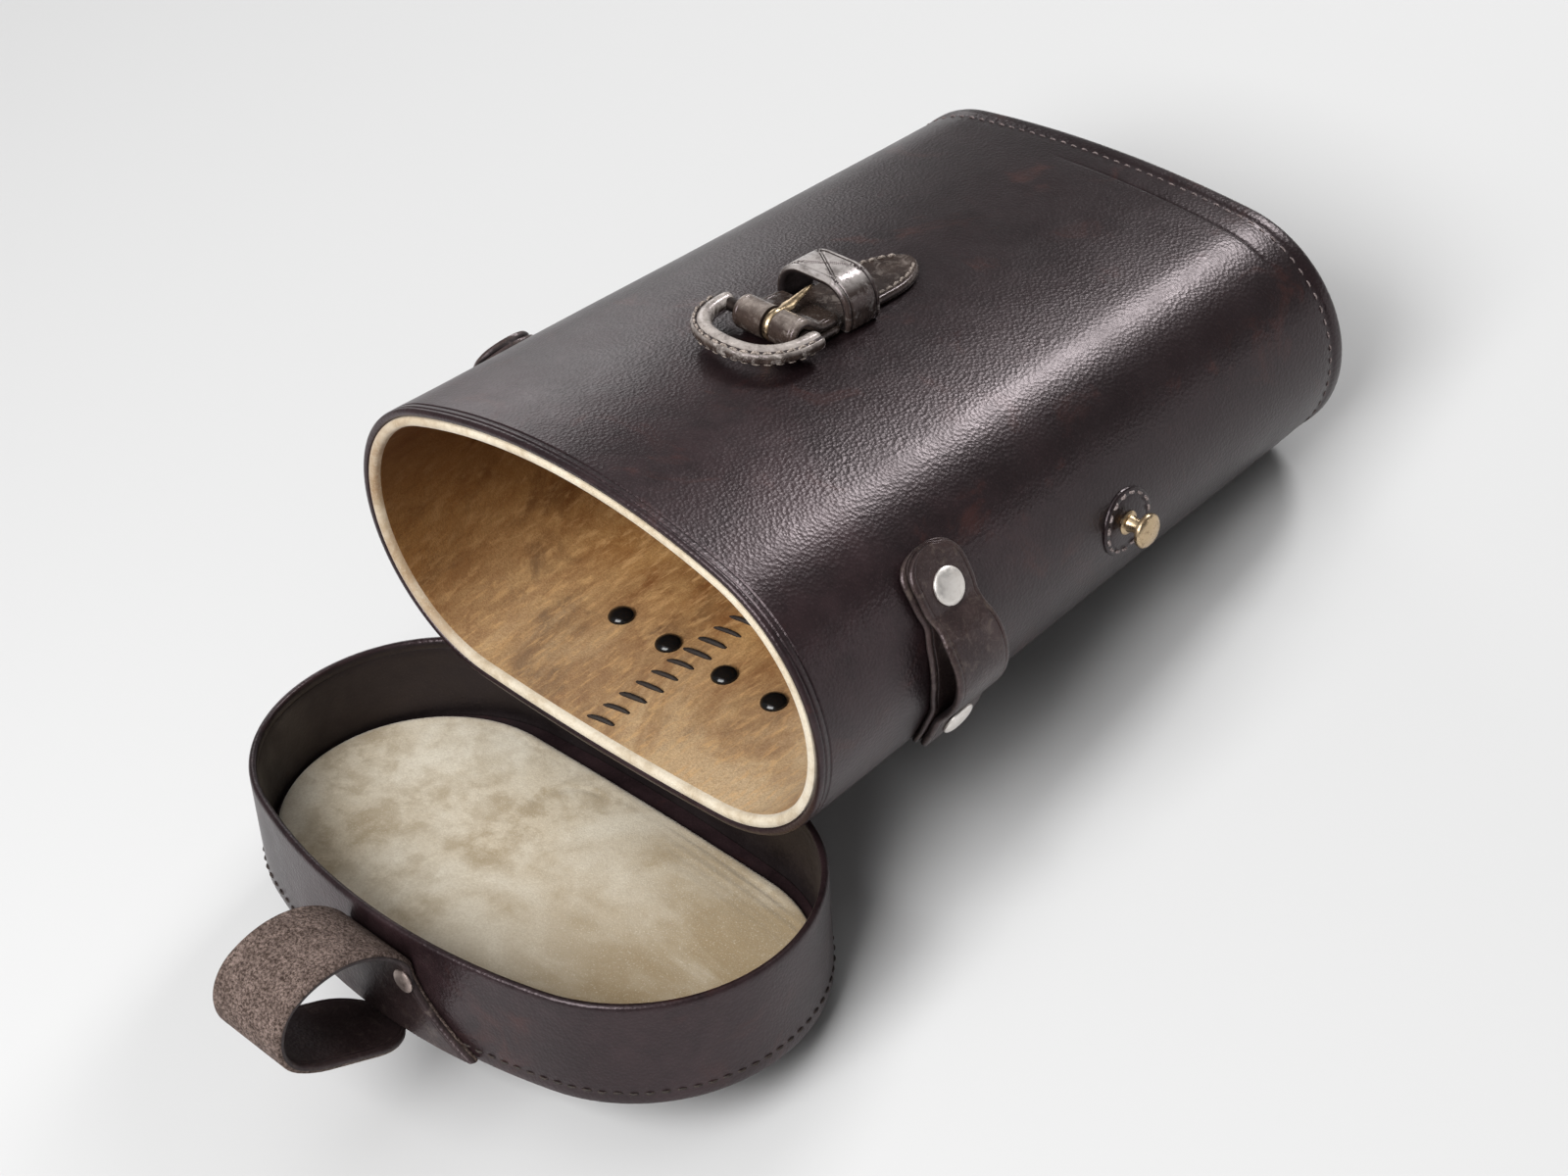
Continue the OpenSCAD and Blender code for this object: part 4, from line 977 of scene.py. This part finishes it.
# prong: a ring round the bar and a pointed tongue
ring_r, pr = 3.05, 1.4
tor = []
for a in np.linspace(0, 2 * math.pi, 72, endpoint=False):
    o = np.array([0, math.cos(a), math.sin(a)])
    tor.append([ring_r * o + 0.9 * pr * (math.cos(u) * o * 0.82 + math.sin(u) * np.array([1, 0, 0]))
                for u in np.linspace(0, 2 * math.pi, 20, endpoint=False)])
tor = loft([np.array(q) for q in tor], wrap=True)
pin = []
for y, w, hh, z in ((0.4, 0.95, 0.8, 2.95), (2.2, 1.15, 0.85, 3.0), (3.6, 1.75, 0.8, 3.15), (4.6, 1.7, 0.75, 3.3),
                    (5.6, 1.35, 0.72, 3.55), (7.5, 1.1, 0.66, 4.05), (9.6, 0.82, 0.56, 4.6), (11.2, 0.6, 0.46, 5.0),
                    (12.0, 0.34, 0.3, 5.2)):
    u = np.linspace(0, 2 * math.pi, 20, endpoint=False)
    pin.append(np.c_[w * np.cos(u), np.full(20, y), z + hh * np.sin(u)])
v, f = joined([tor, loft(pin)])
build("prong", v, f, FRONT @ move(0.8, 0, BAR_H), "prong", brass, ["buckle_prong"], angle=60)

# ---------------------------------------------------------------- side loops and studs
big_cap = [(0, 0.001), (0, 4.15), (0.25, 4.38), (0.6, 4.35), (0.95, 4.0), (1.25, 3.1), (1.45, 1.8), (1.52, 0.001)]


def lobe(a, w, r, half):
    """Half width of the loop at an angle from its middle."""
    e = (half - abs(a)) * math.pi / 180 * r
    k = min(1.0, max(0.0, e / 6.5))
    waist = 1 - 0.10 * math.exp(-((abs(a) - 17.5) / 4.5) ** 2)
    return max(0.4, w * (1 - (1 - k) ** 2.4) ** (1 / 2.4) * waist)


for s, word in ((1, "right"), (-1, "left")):
    place = side_place(LOOP_Y, s)
    r = side_r(LOOP_Y)
    for kind in ("backing", "loop"):
        half = 42.2 if kind == "backing" else 41.0
        t = 1.5 if kind == "backing" else 1.8
        w = 9.2 if kind == "backing" else 8.5
        rows = []
        for a in half * np.sin(np.linspace(-1, 1, 91) * math.pi / 2):
            if kind == "backing":
                q = r + 0.05 + t / 2
            else:
                b = 5.1 * math.cos(math.radians(abs(a) * 90 / 21)) ** 1.1 if abs(a) < 21 else 0.0
                q = r + 1.7 + t / 2 + b
            o = unit(a)
            rows.append(((q * o[0], 0, q * o[1]), (0, 1, 0), (o[0], 0, o[1]), lobe(a, w, r, half), t))
        a_, b_ = strip(rows, inner=16)
        v, f, marks = slab(a_, b_)
        node = ("loop_backing_" if kind == "backing" else "strap_loop_") + word
        # inner faces get the near-black painted shade
        build("side_" + kind + "_" + word, v, f, place, "case", [loop_look, inner_shade_look, edge_look], [node], marks=marks,
              angle=60)
    parts = []
    for q in (-27.0, 27.0):
        parts.append(moved(lathe([(x - 0.15, y) for x, y in big_cap]), spin(-q, "Y") @ move(r + 3.65, 0, 0)))
    v, f = joined(parts)
    build("loop_caps_" + word, v, f, place, "case", nickel, ["loop_rivets_" + word])

    place = side_place(STUD_Y, s)
    r = side_r(STUD_Y)
    rings = []
    for g, q in ((-0.3, 8.5), (0.3, 8.5), (0.55, 8.3), (0.65, 7.9), (0.62, 7.0), (0.5, 6.7), (0.62, 6.4), (0.62, 4.5), (0.62, 1.0)):
        u = np.linspace(0, 2 * math.pi, 72, endpoint=False)
        y, z = q * np.cos(u), q * np.sin(u)
        rings.append(np.c_[np.sqrt(r * r - z * z) + g, y, z])
    v, f = loft(rings)
    build("stud_patch_leather_" + word, v, f, place, "case", shell_look, ["stud_patch_" + word])
    stitches = []
    for k in range(15):
        p = []
        for da in (-7.2, 7.2):
            u = math.radians(k * 24 + da)
            y, z = 7.45 * math.cos(u), 7.45 * math.sin(u)
            p.append((math.sqrt(r * r - z * z) + 0.62, y, z))
        stitches.append((p[0], p[1], (1, 0, 0)))
    threads("stud_stitches_" + word, stitches, 0.4, place, "case", pale_thread)
    turned = [(0.2, 0.001), (0.2, 2.9), (0.75, 3.0), (1.1, 2.7), (1.35, 2.1), (2.6, 1.75), (4.4, 1.8), (4.7, 2.3),
              (5.1, 3.8), (5.35, 4.15), (5.85, 4.25), (6.35, 4.22), (6.6, 4.0), (6.85, 3.7), (7.15, 2.8), (7.4, 1.5),
              (7.5, 0.001)]
    v, f = lathe(turned)
    v = v + np.array([r, 0, 0])
    build("stud_turned_" + word, v, f, place, "case", brass, ["stud_" + word])

# ---------------------------------------------------------------- floor, lights, camera
floor_mat = Look("floor")
seen = floor_mat.mix(floor_mat.noise(3, 2, 0.5), (0.628, 0.628, 0.628), (0.633, 0.633, 0.633))
floor_mat.set(Base_Color=seen, Roughness=1.0)
floor_mat.bsdf.inputs["Specular IOR Level"].default_value = 0.0
bpy.ops.mesh.primitive_plane_add(size=9, location=(0, 0, -0.0004))
floor = bpy.context.object
floor.name = "floor"
floor.data.materials.append(floor_mat.mat)

world = bpy.data.worlds.new("studio")
bpy.context.scene.world = world
world.use_nodes = True
world.node_tree.nodes["Background"].inputs[0].default_value = (1.0, 1.0, 1.0, 1.0)
world.node_tree.nodes["Background"].inputs[1].default_value = 0.17


def lamp(name, toward, distance, size, power, aim=(0, 0, 0.05), tint=(1, 1, 1)):
    data = bpy.data.lights.new(name, "AREA")
    data.shape = "RECTANGLE"
    data.size, data.size_y = size
    data.energy = power
    data.color = tint
    obj = bpy.data.objects.new(name, data)
    bpy.context.scene.collection.objects.link(obj)
    d = Vector(toward).normalized()
    obj.location = Vector(aim) + d * distance
    obj.rotation_mode = "QUATERNION"
    obj.rotation_quaternion = (-d).to_track_quat("-Z", "Y")
    return obj


lamp("key", (-0.05, 0.84, 0.54), 1.3, (0.24, 0.32), 8.2)
lamp("left", (-0.82, 0.52, 0.25), 1.4, (0.5, 0.45), 2.0)
lamp("front", (0.10, -0.62, 0.77), 1.3, (0.9, 0.7), 20)
lamp("overhead", (0.0, -0.05, 1.0), 1.7, (1.3, 1.3), 5.5)
lamp("right", (0.80, 0.59, 0.04), 1.4, (0.3, 0.3), 0.5)

cam_data = bpy.data.cameras.new("camera")
cam_data.sensor_width = 36.0
cam_data.lens = 66.84
cam_data.shift_x = 0.0283
cam_data.shift_y = 0.0237
cam_data.clip_start, cam_data.clip_end = 0.02, 20
cam = bpy.data.objects.new("camera", cam_data)
bpy.context.scene.collection.objects.link(cam)
right = Vector((0.700641, 0.666851, -0.253808))
upward = Vector((-0.383267, 0.651777, 0.654459))
back = Vector((0.601848, -0.361264, 0.712240))
target = Vector((-0.004546, 0.003354, 0.028060))
turn = Matrix((right, upward, back)).transposed().to_4x4()
cam.matrix_world = Matrix.Translation(target + back * 0.712293) @ turn
bpy.context.scene.camera = cam
bpy.context.scene.view_settings.view_transform = "Standard"
